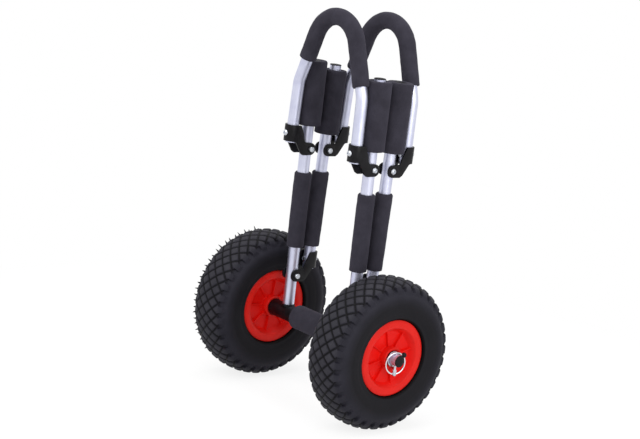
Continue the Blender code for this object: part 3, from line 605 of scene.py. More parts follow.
def tyre_section(radius, half_width):
    """One half of the section as arrays: distance from the crown's middle, offset and radius."""
    crown = radius - WIDEST_RADIUS
    angles = np.linspace(0, QUARTER, SECTION_POINTS)
    power = 2 / CROWN_SQUARENESS
    offsets = half_width * np.sin(angles) ** power
    radii = WIDEST_RADIUS + crown * np.cos(angles).clip(0) ** power
    drop = np.linspace(0, WIDEST_RADIUS - BEAD_RADIUS, SECTION_POINTS)[1:]
    lip = (1 - (drop[-1] - drop) / BEAD_ROLL).clip(0)
    rolled = BEAD_ROLL * (1 - np.sqrt(1 - lip**2))
    offsets = np.append(offsets, half_width * np.sqrt(1 - (drop / SIDEWALL_DEPTH) ** 2) - rolled)
    radii = np.append(radii, WIDEST_RADIUS - drop)
    distances = np.append(0, np.cumsum(np.hypot(np.diff(offsets), np.diff(radii))))
    return distances, offsets, radii


def skin_at(section, places, reach):
    """The section's offset and radius at distances from the crown's middle, and how both change over a
    short reach on either side."""
    distances, *lines = section
    here = [np.interp(places, distances, line) for line in lines]
    ahead, behind = places + reach, places - reach
    return *here, *[np.interp(ahead, distances, line) - np.interp(behind, distances, line) for line in lines]


def kept_share(radius):
    """How much of a pitch a block's top keeps between its grooves. The tyre stands on a block's corner."""
    return 1 - GROOVE_HALF_WIDTH * math.sqrt(2) / (math.tau * radius / COLUMNS * PITCH_COLUMNS / 2)


def tread_mask(rows):
    """How deep each corner of the tyre's face is cut, from 0 on a block's top to 1 where grooves cross."""
    columns = np.arange(COLUMNS)[None, :]
    half = PITCH_COLUMNS // 2
    shape = np.zeros(PITCH_COLUMNS + 1)
    shape[: len(GROOVE_SHAPE)] = GROOVE_SHAPE
    cuts = [shape[np.abs((columns + sign * rows) % PITCH_COLUMNS - half)] for sign in (1, -1)]
    blocks = np.maximum(*cuts) * (1 - CROSSING_SHARE) + np.minimum(*cuts) * CROSSING_SHARE
    shift = half if (BLOCK_ROWS // half) % 2 else 0
    off_centre = np.abs((columns - shift + half) % PITCH_COLUMNS - half)
    between = eased(off_centre, (LUG_HALF_COLUMNS, LUG_HALF_COLUMNS + LUG_SLOPE))
    past = eased(rows, (LUG_ROWS, LUG_ROWS + LUG_RUNOUT))
    return np.where(rows > BLOCK_ROWS, 1 - (1 - between) * (1 - past), blocks)


def tyre_skin(radius, half_width):
    """One half of the tyre, from the crown's middle to the bead's heel, as a grid of corners: their radius,
    offset, painted tread shade and depth of cut. The painted tread shade is 1 on a block's top and 0 in a
    groove, where it paints shade into the recess; on the shoulder and the side it is a painted highlight that
    falls off outwards, and at the bead a painted shadow ring."""
    section = tyre_section(radius, half_width)
    step = math.tau * radius / COLUMNS
    tread_places = np.arange(LUG_ROWS + LUG_RUNOUT + 2) * step
    places = np.append(tread_places, np.linspace(tread_places[-1], section[0][-1], SIDEWALL_ROWS + 1)[1:])
    rows = np.arange(len(places))[:, None]
    x, r, slope_x, slope_r = skin_at(section, places, step / 4)
    slope_r[0] = 0.0
    size = np.hypot(slope_x, slope_r)
    mask = tread_mask(rows)
    depth = mask * (GROOVE_DEPTH * (1 - eased(places, GROOVE_FADE)))[:, None]
    depth *= 1 + LUG_CUT * eased(rows, LUG_CUT_ROWS)
    # painted light: a highlight on the shoulder that falls towards the side, blended with the grooves'
    # painted shade
    shade = (SHOULDER_SHADE - SHOULDER_FALL * eased(places, SHOULDER_SHADE_ENDS))[:, None]
    painted_tread_shade = (1 - mask) + (shade - (1 - mask)) * eased(places, BLOCK_SHADE_ENDS)[:, None]
    # a painted shadow ring round the bead, where the tyre meets the rim
    painted_tread_shade = np.where(r[:, None] < BEAD_RADIUS + BEAD_SHADOW, 0.0, painted_tread_shade)
    for at, half, hollow in SIDEWALL_HOLLOWS:
        depth += (hollow * (1 - eased(np.abs(r - at), (0, half))) * (places > tread_places[-1]))[:, None]
    reach = r[:, None] - (slope_x / size)[:, None] * depth
    side = x[:, None] + (slope_r / size)[:, None] * depth
    heel = (((SEAT_RADIUS + BEAD_HEEL,), (SEAT_RADIUS,)), BEAD_INSIDE, painted_tread_shade[-1], 0.0)
    grids = zip((reach, side, painted_tread_shade, depth), heel)
    return [np.vstack([grid, np.broadcast_to(rows, (2, COLUMNS))]) for grid, rows in grids]


def tread_faces(depth):
    """Faces of a grid that closes on itself both ways: four-cornered where the depth is even, and
    elsewhere split along the flatter diagonal."""
    index = np.arange(depth.size).reshape(depth.shape)
    a, b = index, np.roll(index, -1, axis=1)
    c, d = np.roll(b, -1, axis=0), np.roll(a, -1, axis=0)
    quads = np.stack([a, b, c, d], axis=-1).reshape(-1, 4)
    cut = depth.reshape(-1)[quads]
    even = np.ptp(cut, axis=1) < EVEN_DEPTH
    rough, cut = quads[~even], cut[~even]
    first = np.abs(cut[:, 0] - cut[:, 2]) <= np.abs(cut[:, 1] - cut[:, 3])
    faces = quads[even].tolist()
    for split, corners in ((first, [[0, 1, 2], [0, 2, 3]]), (~first, [[0, 1, 3], [1, 2, 3]])):
        for corner in corners:
            faces += rough[split][:, corner].tolist()
    return faces


def tyre_mesh(radius, half_width):
    """The tyre as a closed grid in its own frame, the axle along Z."""
    reach, side, painted_tread_shade, depth = tyre_skin(radius, half_width)
    last = len(reach) - 1
    order = [*range(last, 0, -1), *range(last + 1)]
    signs = np.array([-1] * last + [1] * (last + 1))[:, None]
    reach, side, painted_tread_shade, depth = reach[order], side[order] * signs, painted_tread_shade[order], depth[order]
    angles = (np.arange(COLUMNS) / PITCH_COLUMNS - kept_share(radius) / 2) * math.tau / TREAD_PITCHES
    points = np.stack([reach * np.cos(angles), reach * np.sin(angles), side], axis=-1).reshape(-1, 3)
    mesh = bpy.data.meshes.new("tyre")
    mesh.from_pydata(points.tolist(), [], tread_faces(depth))
    height = mesh.attributes.new("painted_tread_shade", "FLOAT", "POINT")
    height.data.foreach_set("value", painted_tread_shade.reshape(-1).astype(np.float32))
    bm = bmesh.new()
    bm.from_mesh(mesh)
    bpy.data.meshes.remove(mesh)
    return bm


WHISKER_LENGTH = (0.0044, 0.0060)
WHISKER_RADIUS = 0.0017
WHISKER_RINGS = 5
WHISKER_CORNERS = 6
WHISKER_LEAN = 0.28
WHISKER_TAPER = 0.8
WHISKER_ROOT = 0.0006
WHISKER_ROWS = (21, 24)
WHISKER_ARC = (math.radians(-48), math.radians(96))  # above the axle's level, on the wheel's front
WHISKER_SEED = 4


def whisker_mesh(radius, half_width, outward):
    """The whiskers that a new tyre keeps from its mould's vents, one on a block, each bent its own way.
    Only those on the front are left: the others have rubbed off."""
    draw = random.Random(WHISKER_SEED)
    section = tyre_section(radius, half_width)
    step = math.tau * radius / COLUMNS
    bm = bmesh.new()
    for row in WHISKER_ROWS:
        x, r, run, rise = skin_at(section, row * step, step)
        for pitch in range(TREAD_PITCHES):
            shift = 0.5 if row == BLOCK_ROWS else 0.0
            angle = math.tau * (pitch + shift - kept_share(radius) / 2) / TREAD_PITCHES
            root = Vector((r * math.cos(angle), r * math.sin(angle), x))
            out = Vector((run * math.cos(angle), run * math.sin(angle), -rise)).normalized()
            world = outward.to_3x3() @ root
            height = math.atan2(world.z, -world.y)
            if WHISKER_ARC[0] < height < WHISKER_ARC[1]:
                grow_whisker(bm, root, out, draw)
    return bm


def grow_whisker(bm, root, out, draw):
    """One whisker from its root, tapered like a thorn."""
    length = draw.uniform(*WHISKER_LENGTH)
    lean = Vector([draw.uniform(-WHISKER_LEAN, WHISKER_LEAN) for _ in range(3)])
    turn = facing(out)
    rings = []
    for index in range(WHISKER_RINGS):
        share = index / (WHISKER_RINGS - 1)
        centre = root - out * WHISKER_ROOT + (out * share + lean * share * share) * length
        radius = WHISKER_RADIUS * (1 - WHISKER_TAPER * share)
        ring = []
        for corner in range(WHISKER_CORNERS):
            angle = math.tau * corner / WHISKER_CORNERS
            around = turn @ Vector((math.cos(angle), math.sin(angle), 0))
            ring.append(bm.verts.new(centre + around * radius))
        rings.append(ring)
    join(bm, *rings)
    bm.faces.new(rings[0][::-1])
    bm.faces.new(rings[-1])


FLANGE_THICKNESS = 0.0040
FLANGE_CROWN = 0.0014
FLANGE_EDGE = 0.0038
RIM_WALL = 0.0030
DISH_TOP_RADIUS = 0.0515
WEB_RADIUS = 0.0438
WEB_DEPTH = 0.0125
HUB_RADIUS = 0.0185
HUB_PROUD = 0.0015
COUNTERBORE_RADIUS = 0.0150
COUNTERBORE_DEPTH = 0.0020
BUSH_OUTER = 0.0129
BUSH_WALL = 0.0022
RIB_COUNT = 8
RIB_THICKNESS = 0.0017
RIB_DRAFT = 1.3  # how much thicker a rib is at its foot
RIB_BELOW_FACE = 0.0080
RIB_TURNS = {"left": math.radians(-6.5), "right": math.radians(13.0)}
RIM_STEPS = 96


def rim_mesh(rim_radius, face, turn):
    """One half of a rim: hub, web with its ribs, dished wall, rolled flange and barrel."""
    web = face - WEB_DEPTH
    hub = face + HUB_PROUD
    back = web - RIM_WALL
    barrel = SEAT_RADIUS - GAP - RIM_WALL
    shoulder = face - FLANGE_THICKNESS - RIM_WALL
    corners = [
        (rim_radius - FLANGE_EDGE, face, 0.0030),
        (rim_radius, face - FLANGE_CROWN, 0.0010),
        (rim_radius, face - FLANGE_THICKNESS, 0.0010),
        (SEAT_RADIUS - GAP, face - FLANGE_THICKNESS, 0.0),
        (SEAT_RADIUS - GAP, GAP / 2, 0.0),
        (barrel, GAP / 2, 0.0),
        (barrel, shoulder, 0.0015),
        (WEB_RADIUS + RIM_WALL, back, 0.0020),
        (HUB_RADIUS, back, 0.0010),
        (HUB_RADIUS, GAP / 2, 0.0),
        (BUSH_OUTER, GAP / 2, 0.0),
        (BUSH_OUTER, hub - COUNTERBORE_DEPTH, 0.0005),
        (COUNTERBORE_RADIUS, hub - COUNTERBORE_DEPTH, 0.0004),
        (COUNTERBORE_RADIUS, hub, 0.0007),
        (HUB_RADIUS, hub, 0.0009),
        (HUB_RADIUS, web, 0.0016),
        (WEB_RADIUS, web, 0.0026),
        (DISH_TOP_RADIUS, face - FLANGE_CROWN / 2, 0.0018),
        (DISH_TOP_RADIUS + FLANGE_EDGE, face, 0.0030),
    ]
    return worked(lathed(corners, RIM_STEPS), [("UNION", rib) for rib in rim_ribs(face, turn)])


def rim_ribs(face, turn):
    """The ribs that stand on the web from the hub to the dished wall, round-topped."""
    web = face - WEB_DEPTH - RIM_WALL / 2
    top = face - RIB_BELOW_FACE
    slope = (DISH_TOP_RADIUS - WEB_RADIUS) / WEB_DEPTH
    start = (HUB_RADIUS + COUNTERBORE_RADIUS) / 2
    end = DISH_TOP_RADIUS - slope * RIB_BELOW_FACE + RIM_WALL / 2
    foot = WEB_RADIUS + RIM_WALL / 2
    lean = (end - foot) / (top - web)
    half = RIB_THICKNESS / 2
    wide = half * RIB_DRAFT
    section = softened([(-wide, web, 0), (wide, web, 0), (half, top, 0.0006), (-half, top, 0.0006)])
    for index in range(RIB_COUNT):
        bm = bmesh.new()
        near = [bm.verts.new((start, across, height)) for across, height in section]
        far = [bm.verts.new((foot + lean * (height - web), across, height)) for across, height in section]
        join(bm, near, far)
        bm.faces.new(near[::-1])
        bm.faces.new(far)
        bm = moved(bm, Matrix.Rotation(math.tau * index / RIB_COUNT + turn, 4, "Z"))
        bmesh.ops.recalc_face_normals(bm, faces=bm.faces)
        yield bm


def make_wheel(side, sign):
    """The tyre, with vent whiskers on the left wheel only, the two rim halves and the bush, on one wheel."""
    body = f"wheel_{side}"
    centre = HINGES[f"wheel_{side}_spin"]
    outward = facing(ACROSS * sign, centre)
    low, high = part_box(f"tyre_{side}")
    radius, half_width = (high.z - low.z) / 2, (high.x - low.x) / 2
    nodes = [f"tyre_{side}"]
    tyre = tyre_mesh(radius, half_width)
    piece(f"moulded_tyre_{side}", tyre, RUBBER, body, nodes, outward, TYRE_SHARP_ANGLE)
    if side == "left":
        whiskers = whisker_mesh(radius, half_width, outward)
        piece("vent_whiskers_left", whiskers, RUBBER, body, turn=outward)
    for half, hand in (("outer", 1), ("inner", -1)):
        node = f"rim_{side}_{half}"
        low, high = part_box(node)
        rim_radius = (high.z - low.z) / 2
        face = max(abs(low.x - centre.x), abs(high.x - centre.x))
        turn = outward @ facing((0, 0, hand))
        rim = rim_mesh(rim_radius, face, RIB_TURNS[side])
        piece(f"moulded_{node}", rim, RED_PLASTIC, body, [node], turn)
    low, high = extent(f"hub_bush_{side}", outward)
    bore = BUSH_OUTER - GAP - BUSH_WALL
    bush = lathed_ring(bore, BUSH_OUTER - GAP, low.z - HUB_PROUD, high.z + HUB_PROUD, TUBE_EDGE)
    piece(f"turned_bush_{side}", bush, BUSH_NYLON, body, [f"hub_bush_{side}"], outward)


# Tubes, plugs and sleeves

POST_X = middle("front_post_right")[0]
TUBE_RADIUS = 0.0100
TUBE_BORE = 0.0084
TUBE_EDGE = 0.0004
TUBE_STEP = 0.02
BEND_STEP = 0.01
SLEEVE_BORE = TUBE_RADIUS + GAP
FOAM_EDGE = 0.0016
FOAM_STEP = 0.0025
FOAM_WAVINESS = 0.00035
PLUG_SPIGOT = 0.014
PLUG_CROWN = 0.0045  # the flat middle of its dome
PLUG_DOME = 0.0007
# How far a soft sleeve reaches past its solid, at its foot, at its top and all round
SLEEVE_REACH = {
    "front_upper_foam_left": (0.0023, 0.0036, 0.0004),
    "front_upper_foam_right": (0.0042, 0.0015, 0.0004),
    "rear_upper_foam_left": (0.0, 0.0, 0.0004),
    "rear_upper_foam_right": (0.0013, 0.0043, 0.0018),
}
LOWER_SLEEVE_SWELL = 0.0013  # only towards the other post
PRESSED_EASE = 0.005  # how far past a neighbour's end the flattened stretch runs out


def straight_tube(name, node, turn, body):
    """A drawn tube in a solid's place, along local Z of a turned frame through its axis."""
    low, high = extent(node, turn)
    path = [Vector((0, low.z)), Vector((0, high.z))]
    bm = swept(path, TUBE_RADIUS, TUBE_BORE, TUBE_STEP, TUBE_EDGE)
    piece(name, bm, TUBE_METAL, body, [node], turn)


def foam_sleeve(name, node, turn, body):
    """A straight foam sleeve in a solid's place: soft end edges and a skin that wanders a little."""
    low, high = extent(node, turn)
    foot, top, swell = SLEEVE_REACH.get(node, (0, 0, 0))
    path = [Vector((0, low.z - foot)), Vector((0, high.z + top))]
    radius = (high.x - low.x) / 2 + swell
    bm = swept(path, radius, SLEEVE_BORE, FOAM_STEP, FOAM_EDGE, FOAM_WAVINESS)
    item = piece(name, bm, FOAM, body, [node], turn)
    if "lower" in node:
        swell_towards(item, turn, BACKWARD if node.startswith("front") else -BACKWARD)


def swell_towards(item, turn, direction):
    """Swells a thin sleeve's skin on the side that faces the other post."""
    back = turn.inverted()
    towards = back.to_3x3() @ direction
    for vertex in item.data.vertices:
        place = back @ vertex.co
        spoke = Vector((place.x, place.y, 0))
        if spoke.length > SLEEVE_BORE + FOAM_EDGE:
            share = max(0.0, spoke.normalized().dot(towards))
            vertex.co = turn @ (place + towards * LOWER_SLEEVE_SWELL * share)


def press(item, node, turn):
    """Flattens a soft piece where it leans on a neighbour's sleeve."""
    low, high = extent(node, turn)
    foot, top, swell = SLEEVE_REACH[node]
    radius = (high.x - low.x) / 2 + swell + GAP
    back = turn.inverted()
    for vertex in item.data.vertices:
        place = back @ vertex.co
        spoke = Vector((place.x, place.y, 0))
        beyond = max(low.z - foot - place.z, place.z - high.z - top, 0.0)
        held = 1 - eased(beyond, (0, PRESSED_EASE))
        if spoke.length < radius:
            place += spoke.normalized() * (radius - spoke.length) * held
            vertex.co = turn @ place


def end_plug(name, node, turn, body):
    """A tube's end plug: a domed cap over a spigot."""
    low, high = extent(node, turn)
    base = low.z + PLUG_SPIGOT
    spigot = TUBE_BORE - GAP
    outline = [
        (0, high.z, 0),
        (PLUG_CROWN, high.z, 0.0040),
        (TUBE_RADIUS, high.z - PLUG_DOME, 0.0008),
        (TUBE_RADIUS, base, 0.0002),
        (spigot, base, 0),
        (spigot, low.z, 0.0008),
        (0, low.z, 0),
    ]
    piece(name, lathed(outline), END_PLASTIC, body, [node], turn)


TEE_RADIUS = 0.0145
COLLAR_RADIUS = 0.0118
COLLAR_HEIGHT = 0.0008
TEE_SPIGOT = 0.024
TEE_ROUNDING = 0.0008
AXLE_DRILL = 0.2  # drills reach far enough to pass what they cut
WASHER_BORE = 0.0103
WASHER_RADIUS = 0.0130
WASHER_THICKNESS = 0.0014


def make_tee(side, sign, axle_centre):
    """The moulded tee: a sleeve on the axle with a collar and spigot for the post's foot."""
    outward = facing(ACROSS * sign, axle_centre)
    low, high = extent(f"axle_tee_{side}", outward)
    along = facing(ACROSS * sign)
    sleeve = moved(lathed_ring(SLEEVE_BORE, TEE_RADIUS, low.z, high.z - HUB_PROUD, TEE_ROUNDING), along)
    seat = TEE_RADIUS + COLLAR_HEIGHT
    spigot = TUBE_BORE - GAP
    root = (TEE_RADIUS + SLEEVE_BORE) / 2
    outline = [
        (0, seat + TEE_SPIGOT, 0),
        (spigot, seat + TEE_SPIGOT, TEE_ROUNDING),
        (spigot, seat, 0),
        (COLLAR_RADIUS, seat, 0.0006),
        (COLLAR_RADIUS, root, 0),
        (0, root, 0),
    ]
    stub = moved(lathed(outline), Matrix.Translation((sign * POST_X, 0, 0)))
    bore = drill(SLEEVE_BORE, AXLE_DRILL, along, ROUND_STEPS)
    tee = worked(sleeve, [("UNION", stub), ("DIFFERENCE", bore)])
    turn = Matrix.Translation(axle_centre)
    piece(f"moulded_tee_{side}", tee, NYLON, "frame", [f"axle_tee_{side}"], turn)


def make_axle():
    """The axle tube with its plugs, tees, washers and fat middle sleeve."""
    centre = Vector((0, 0, middle("axle_tube")[2]))
    across = facing(ACROSS, centre)
    straight_tube("drawn_axle", "axle_tube", across, "frame")
    foam_sleeve("sleeve_axle", "axle_foam", across, "frame")
    for side, sign in SIDES.items():
        outward = facing(ACROSS * sign, centre)
        end_plug(f"cap_axle_{side}", f"axle_plug_{side}", outward, "frame")
        make_tee(side, sign, centre)
        node = f"axle_washer_{side}"
        base = extent(node, outward)[0].z + HUB_PROUD
        washer = lathed_ring(WASHER_BORE, WASHER_RADIUS, base, base + WASHER_THICKNESS, TUBE_EDGE)
        piece(f"stamped_washer_{side}", washer, BOLT_STEEL, "frame", [node], outward)


# Brackets and bolts

BRACKET_REACH = 0.0340  # from the pivot to the tube in the bracket's round back
BRACKET_INNER = 0.0104
BRACKET_OUTER = 0.0136
BOSS_RADIUS = 0.0105
BRACKET_TOP = 0.0410
BRACKET_TOP_REACH = 0.0252
BRACKET_WAIST = ((0.0186, 0.0262, 0.0120), (0.0142, 0.0114, 0.0042))  # corners of the cheek's hollow edge
HEEL_REACH = (0.0160, 0.0210)  # where the cheek's foot starts to rise, and ends
HEEL_HEIGHT = -0.0070
WRAP_LOW = 0.0128  # the lower edge of the round back
CLAMP_HEIGHT = 0.0270
BRACKET_DRILL = 0.03
BRACKET_BEVEL = 0.0006
BOLT_RADIUS = 0.0030
BOLT_TIP_INSET = 0.0006
HEAD_RADIUS = 0.0052
HEAD_CROWN = HEAD_RADIUS * 0.62
HEAD_SKIRT = 0.28  # share of the head's height
PIVOT_HEAD = 0.0032
CLAMP_HEAD = 0.0036
NUT_RADIUS = 0.0050
NUT_CORNERS = NUT_RADIUS * 1.02
NUT_FACE = NUT_RADIUS * 0.84
NUT_FLATS = 0.72  # share of the nut's height
NUT_DRILL = 0.01
PIVOT_NUT = 0.0045
CLAMP_NUT = 0.0024
SOCKET_RADIUS = 0.0023
SOCKET_DEPTH = 0.0018


def bracket_mesh():
    """A channel whose cheeks straddle one tube and whose round back wraps the other. The origin is the
    pivot, the back is towards +Y."""
    far = BRACKET_REACH + 2 * BRACKET_OUTER
    corners = [
        (BRACKET_TOP_REACH, BRACKET_TOP, 0.0020),
        *BRACKET_WAIST,
        *[(p.x, p.y, 0.0) for p in arc((0, 0), BOSS_RADIUS, math.radians(85), 3 * QUARTER, ARC_STEP * 2)],
        (HEEL_REACH[0], -BOSS_RADIUS, 0.0020),
        (HEEL_REACH[1], HEEL_HEIGHT, 0.0020),
        (BRACKET_REACH, WRAP_LOW, 0.0040),
        (far, WRAP_LOW, 0.0),
        (far, BRACKET_TOP, 0.0),
    ]
    side = prism(softened(corners), -2 * BRACKET_OUTER, 2 * BRACKET_OUTER)
    side_view = Matrix(((0, 0, 1, 0), (1, 0, 0, 0), (0, 1, 0, 0), (0, 0, 0, 1)))
    side = moved(side, side_view)
    start = -2 * BOSS_RADIUS
    centre = (0, BRACKET_REACH)
    outer = arc(centre, BRACKET_OUTER, 0, math.pi, ARC_STEP * 2)
    inner = arc(centre, BRACKET_INNER, math.pi, 0, ARC_STEP * 2)
    plan = [Vector((BRACKET_OUTER, start)), *outer, Vector((-BRACKET_OUTER, start))]
    plan += [Vector((-BRACKET_INNER, start)), *inner, Vector((BRACKET_INNER, start))]
    channel = prism(plan, -2 * BOSS_RADIUS, 2 * BRACKET_TOP)
    places = [facing(ACROSS), facing(BACKWARD, (0, BRACKET_REACH, CLAMP_HEIGHT))]
    holes = [("DIFFERENCE", drill(BOLT_RADIUS + GAP, BRACKET_DRILL, place)) for place in places]
    cuts = [("INTERSECT", side), *holes]
    return worked(channel, cuts, BRACKET_BEVEL)


def hexagon(radius):
    """A nut's or a socket's outline."""
    return [Vector((math.cos(k * math.tau / 6), math.sin(k * math.tau / 6))) * radius for k in range(6)]


def nut_mesh(low, height):
    """A bored nut under a height, with its far corners taken off."""
    chamfer = [
        (0, low),
        (NUT_RADIUS, low),
        (NUT_CORNERS, low - height * NUT_FLATS),
        (NUT_FACE, low - height),
        (0, low - height),
    ]
    bore = drill(BOLT_RADIUS, NUT_DRILL, Matrix.Translation((0, 0, low)))
    cuts = [("INTERSECT", turned(chamfer, BOLT_STEPS)), ("DIFFERENCE", bore)]
    return worked(prism(hexagon(NUT_RADIUS), low - height, low), cuts)


def bolt_mesh(grip, head_height, nut_height):
    """A domed socket-head bolt along Z and its nut. The grip runs from the nut's face to the head's."""
    low, high = grip[0] - GAP / 2, grip[1] + GAP / 2
    top = high + head_height
    tip = low - nut_height + BOLT_TIP_INSET
    outline = [
        (0, top, 0),
        (HEAD_CROWN, top, 0.0022),
        (HEAD_RADIUS, high + head_height * HEAD_SKIRT, 0.0012),
        (HEAD_RADIUS, high, 0.0003),
        (BOLT_RADIUS, high, 0),
        (BOLT_RADIUS, tip, 0.0004),
        (0, tip, 0),
    ]
    socket = prism(hexagon(SOCKET_RADIUS), top - SOCKET_DEPTH, top + SOCKET_DEPTH)
    bolt = worked(lathed(outline, BOLT_STEPS), [("DIFFERENCE", socket)])
    nut = nut_mesh(low, nut_height)
    passing = bpy.data.meshes.new("nut")
    nut.to_mesh(passing)
    nut.free()
    bolt.from_mesh(passing)
    bpy.data.meshes.remove(passing)
    return bolt


BRACKET = bracket_mesh()
PIVOT_BOLT = bolt_mesh((-BRACKET_OUTER, BRACKET_OUTER), PIVOT_HEAD, PIVOT_NUT)
CLAMP_BOLT = bolt_mesh((-TUBE_RADIUS, BRACKET_OUTER), CLAMP_HEAD, CLAMP_NUT)


def fit_bracket(label, side, x, hinge, body):
    """A bracket with its clamp bolt, on a hinge's frame."""
    turn = hinge @ Matrix.Translation((x, 0, 0))
    node = f"{label}_bracket_{side}"
    piece(f"moulded_{node}", BRACKET.copy(), NYLON, body, [node], turn)
    node = f"{label.split('_')[0]}_clamp_bolt_{side}"
    spot = turn @ facing(BACKWARD, (0, BRACKET_REACH, CLAMP_HEIGHT))
    piece(f"plated_{node}", CLAMP_BOLT.copy(), BOLT_STEEL, body, [node], spot)


def fit_pivot_bolt(node, turn, x, height, reach, body):
    """A pivot bolt, its head outboard."""
    spot = turn @ facing(ACROSS * math.copysign(1, x), (x, reach, height))
    piece(f"plated_{node}", PIVOT_BOLT.copy(), BOLT_STEEL, body, [node], spot)


# Posts and arches

REAR_LEAN = math.radians(1.9)
REAR_KNEE = 0.2228  # above the low pivot, along the rear post
FRONT_ARCH_LEAN = math.radians(1.0)
LEG_END = 0.0104  # heights along an arch's leg, above its pivot
LEG_INSET = 0.0020  # how far a leg draws in before the taper
LEG_STRAIGHT = 0.0450
LEG_BEND = 0.1180
LEG_BEND_RADIUS = 0.040
ARCH_TAPER = math.radians(20.0)
ARCH_RADIUS = 0.0556
ARCH_FOAM_RADIUS = 0.0145
ARCH_FOAM_ENDS = {"front": {"left": 0.1585, "right": 0.135}, "rear": {"left": 0.144, "right": 0.141}}


def make_post_set(label, turn, reach, body):
    """One side-by-side pair of posts with their sleeves and plugs."""
    lines = {}
    for side, sign in SIDES.items():
        lines[side] = line = turn @ Matrix.Translation((sign * POST_X, reach, 0))
        straight_tube(f"drawn_{label}_post_{side}", f"{label}_post_{side}", line, body)
        end_plug(f"cap_{label}_{side}", f"{label}_plug_{side}", line, body)
        for part in ("lower", "upper"):
            foam_sleeve(f"sleeve_{label}_{part}_{side}", f"{label}_{part}_foam_{side}", line, body)
    return lines


def arch_line():
    """The arch's centre line as (x, z) points from the +X leg's end over the top to the other leg's."""
    bend_x = POST_X - LEG_INSET
    peak = LEG_BEND + bend_x / math.tan(ARCH_TAPER)
    leg = [(POST_X, LEG_END), (POST_X, LEG_STRAIGHT), (bend_x, LEG_BEND)]
    corners = leg + [(0, peak)] + [(-x, z) for x, z in reversed(leg)]
    bends = [LEG_BEND_RADIUS] * 2
    return filleted([Vector(corner) for corner in corners], bends + [ARCH_RADIUS] + bends)


def at_height(here, there, height):
    """The point of a straight stretch that lies at a height."""
    return here.lerp(there, (height - here.y) / (there.y - here.y))


def above(path, first, last):
    """The stretch of the arch above one height at its start and another at its end."""
    crown = len(path) // 2
    start = next(i for i in range(crown) if path[i + 1].y > first)
    end = next(i for i in range(len(path) - 1, crown, -1) if path[i - 1].y > last)
    opening = at_height(path[start], path[start + 1], first)
    closing = at_height(path[end], path[end - 1], last)
    return [opening, *path[start + 1 : end], closing]


def make_arch(label, hinge, sides, lines):
    """A bent tube with its long foam grip and two brackets. sides gives each side's local X sign, and
    lines each post's own frame."""
    body = f"{label}_arch"
    path = arch_line()
    spot = hinge @ Matrix.Translation((0, BRACKET_REACH, 0))
    tube = swept(path, TUBE_RADIUS, TUBE_BORE, BEND_STEP, TUBE_EDGE)
    piece(f"bent_{label}_arch", tube, TUBE_METAL, body, [f"{label}_loop_tube"], spot)
    ends = {sign: ARCH_FOAM_ENDS[label][side] for side, sign in sides.items()}
    line = above(path, ends[1], ends[-1])
    grip = swept(line, ARCH_FOAM_RADIUS, SLEEVE_BORE, FOAM_STEP, FOAM_EDGE / 2, FOAM_WAVINESS)
    grip = piece(f"grip_{label}_arch", grip, FOAM, body, [f"{label}_loop_foam"], spot)
    for side, line in lines.items():
        press(grip, f"{label}_upper_foam_{side}", line)
    for side, sign in sides.items():
        fit_bracket(f"{label}_knee", side, sign * POST_X, hinge, body)


def make_frames():
    """The front posts, the rear frame hinged low on them, and the two arches at their knees."""
    low_hinge = HINGES["rear_frame_fold"]
    front_knee = HINGES["front_arch_fold"]
    front_lines = make_post_set("front", HERE, 0, "frame")
    rear = Matrix.Translation(low_hinge) @ Matrix.Rotation(-REAR_LEAN, 4, "X")
    rear_lines = make_post_set("rear", rear, BRACKET_REACH, "rear_frame")
    for side, line in front_lines.items():
        press(bpy.data.objects[f"sleeve_rear_upper_{side}"], f"front_upper_foam_{side}", line)
    for side, sign in SIDES.items():
        x = sign * POST_X
        fit_pivot_bolt(f"lower_pivot_bolt_{side}", HERE, x, low_hinge.z, 0, "frame")
        fit_pivot_bolt(f"front_knee_bolt_{side}", HERE, x, front_knee.z, 0, "frame")
        fit_pivot_bolt(f"rear_knee_bolt_{side}", rear, x, REAR_KNEE, BRACKET_REACH, "rear_frame")
        fit_bracket("lower", side, x, rear, "rear_frame")
    half_turn = Matrix.Rotation(math.pi, 4, "Z") @ Matrix.Rotation(FRONT_ARCH_LEAN, 4, "X")
    front_hinge = Matrix.Translation(front_knee) @ half_turn
    make_arch("front", front_hinge, {side: -sign for side, sign in SIDES.items()}, front_lines)
    rear_hinge = rear @ Matrix.Translation((0, BRACKET_REACH, REAR_KNEE))
    make_arch("rear", rear_hinge, SIDES, rear_lines)


# Linch pins

PIN_RADIUS = 0.0023
PIN_HEAD_RADIUS = 0.0034
PIN_NECK = -0.0160  # heights on a pin are taken from the axle's line
PIN_NECK_TAPER = 0.0012
PIN_EYE = -0.0243
PIN_EYE_RADIUS = 0.0021
PIN_HEAD_END = -0.0276
PIN_DRILL = 0.01
RING_RADIUS = 0.0181
RING_WIRE = 0.00125  # the wire's radius
RING_TURN = math.radians(10.0)
EYE_TURN = math.radians(19.0)
RING_BEAD_RADIUS = 0.0045
RING_BEAD_BEVEL = 0.0003
RING_BEAD_OFFSET = 0.0020
RING_BEAD_PLACE = math.radians(43.0)


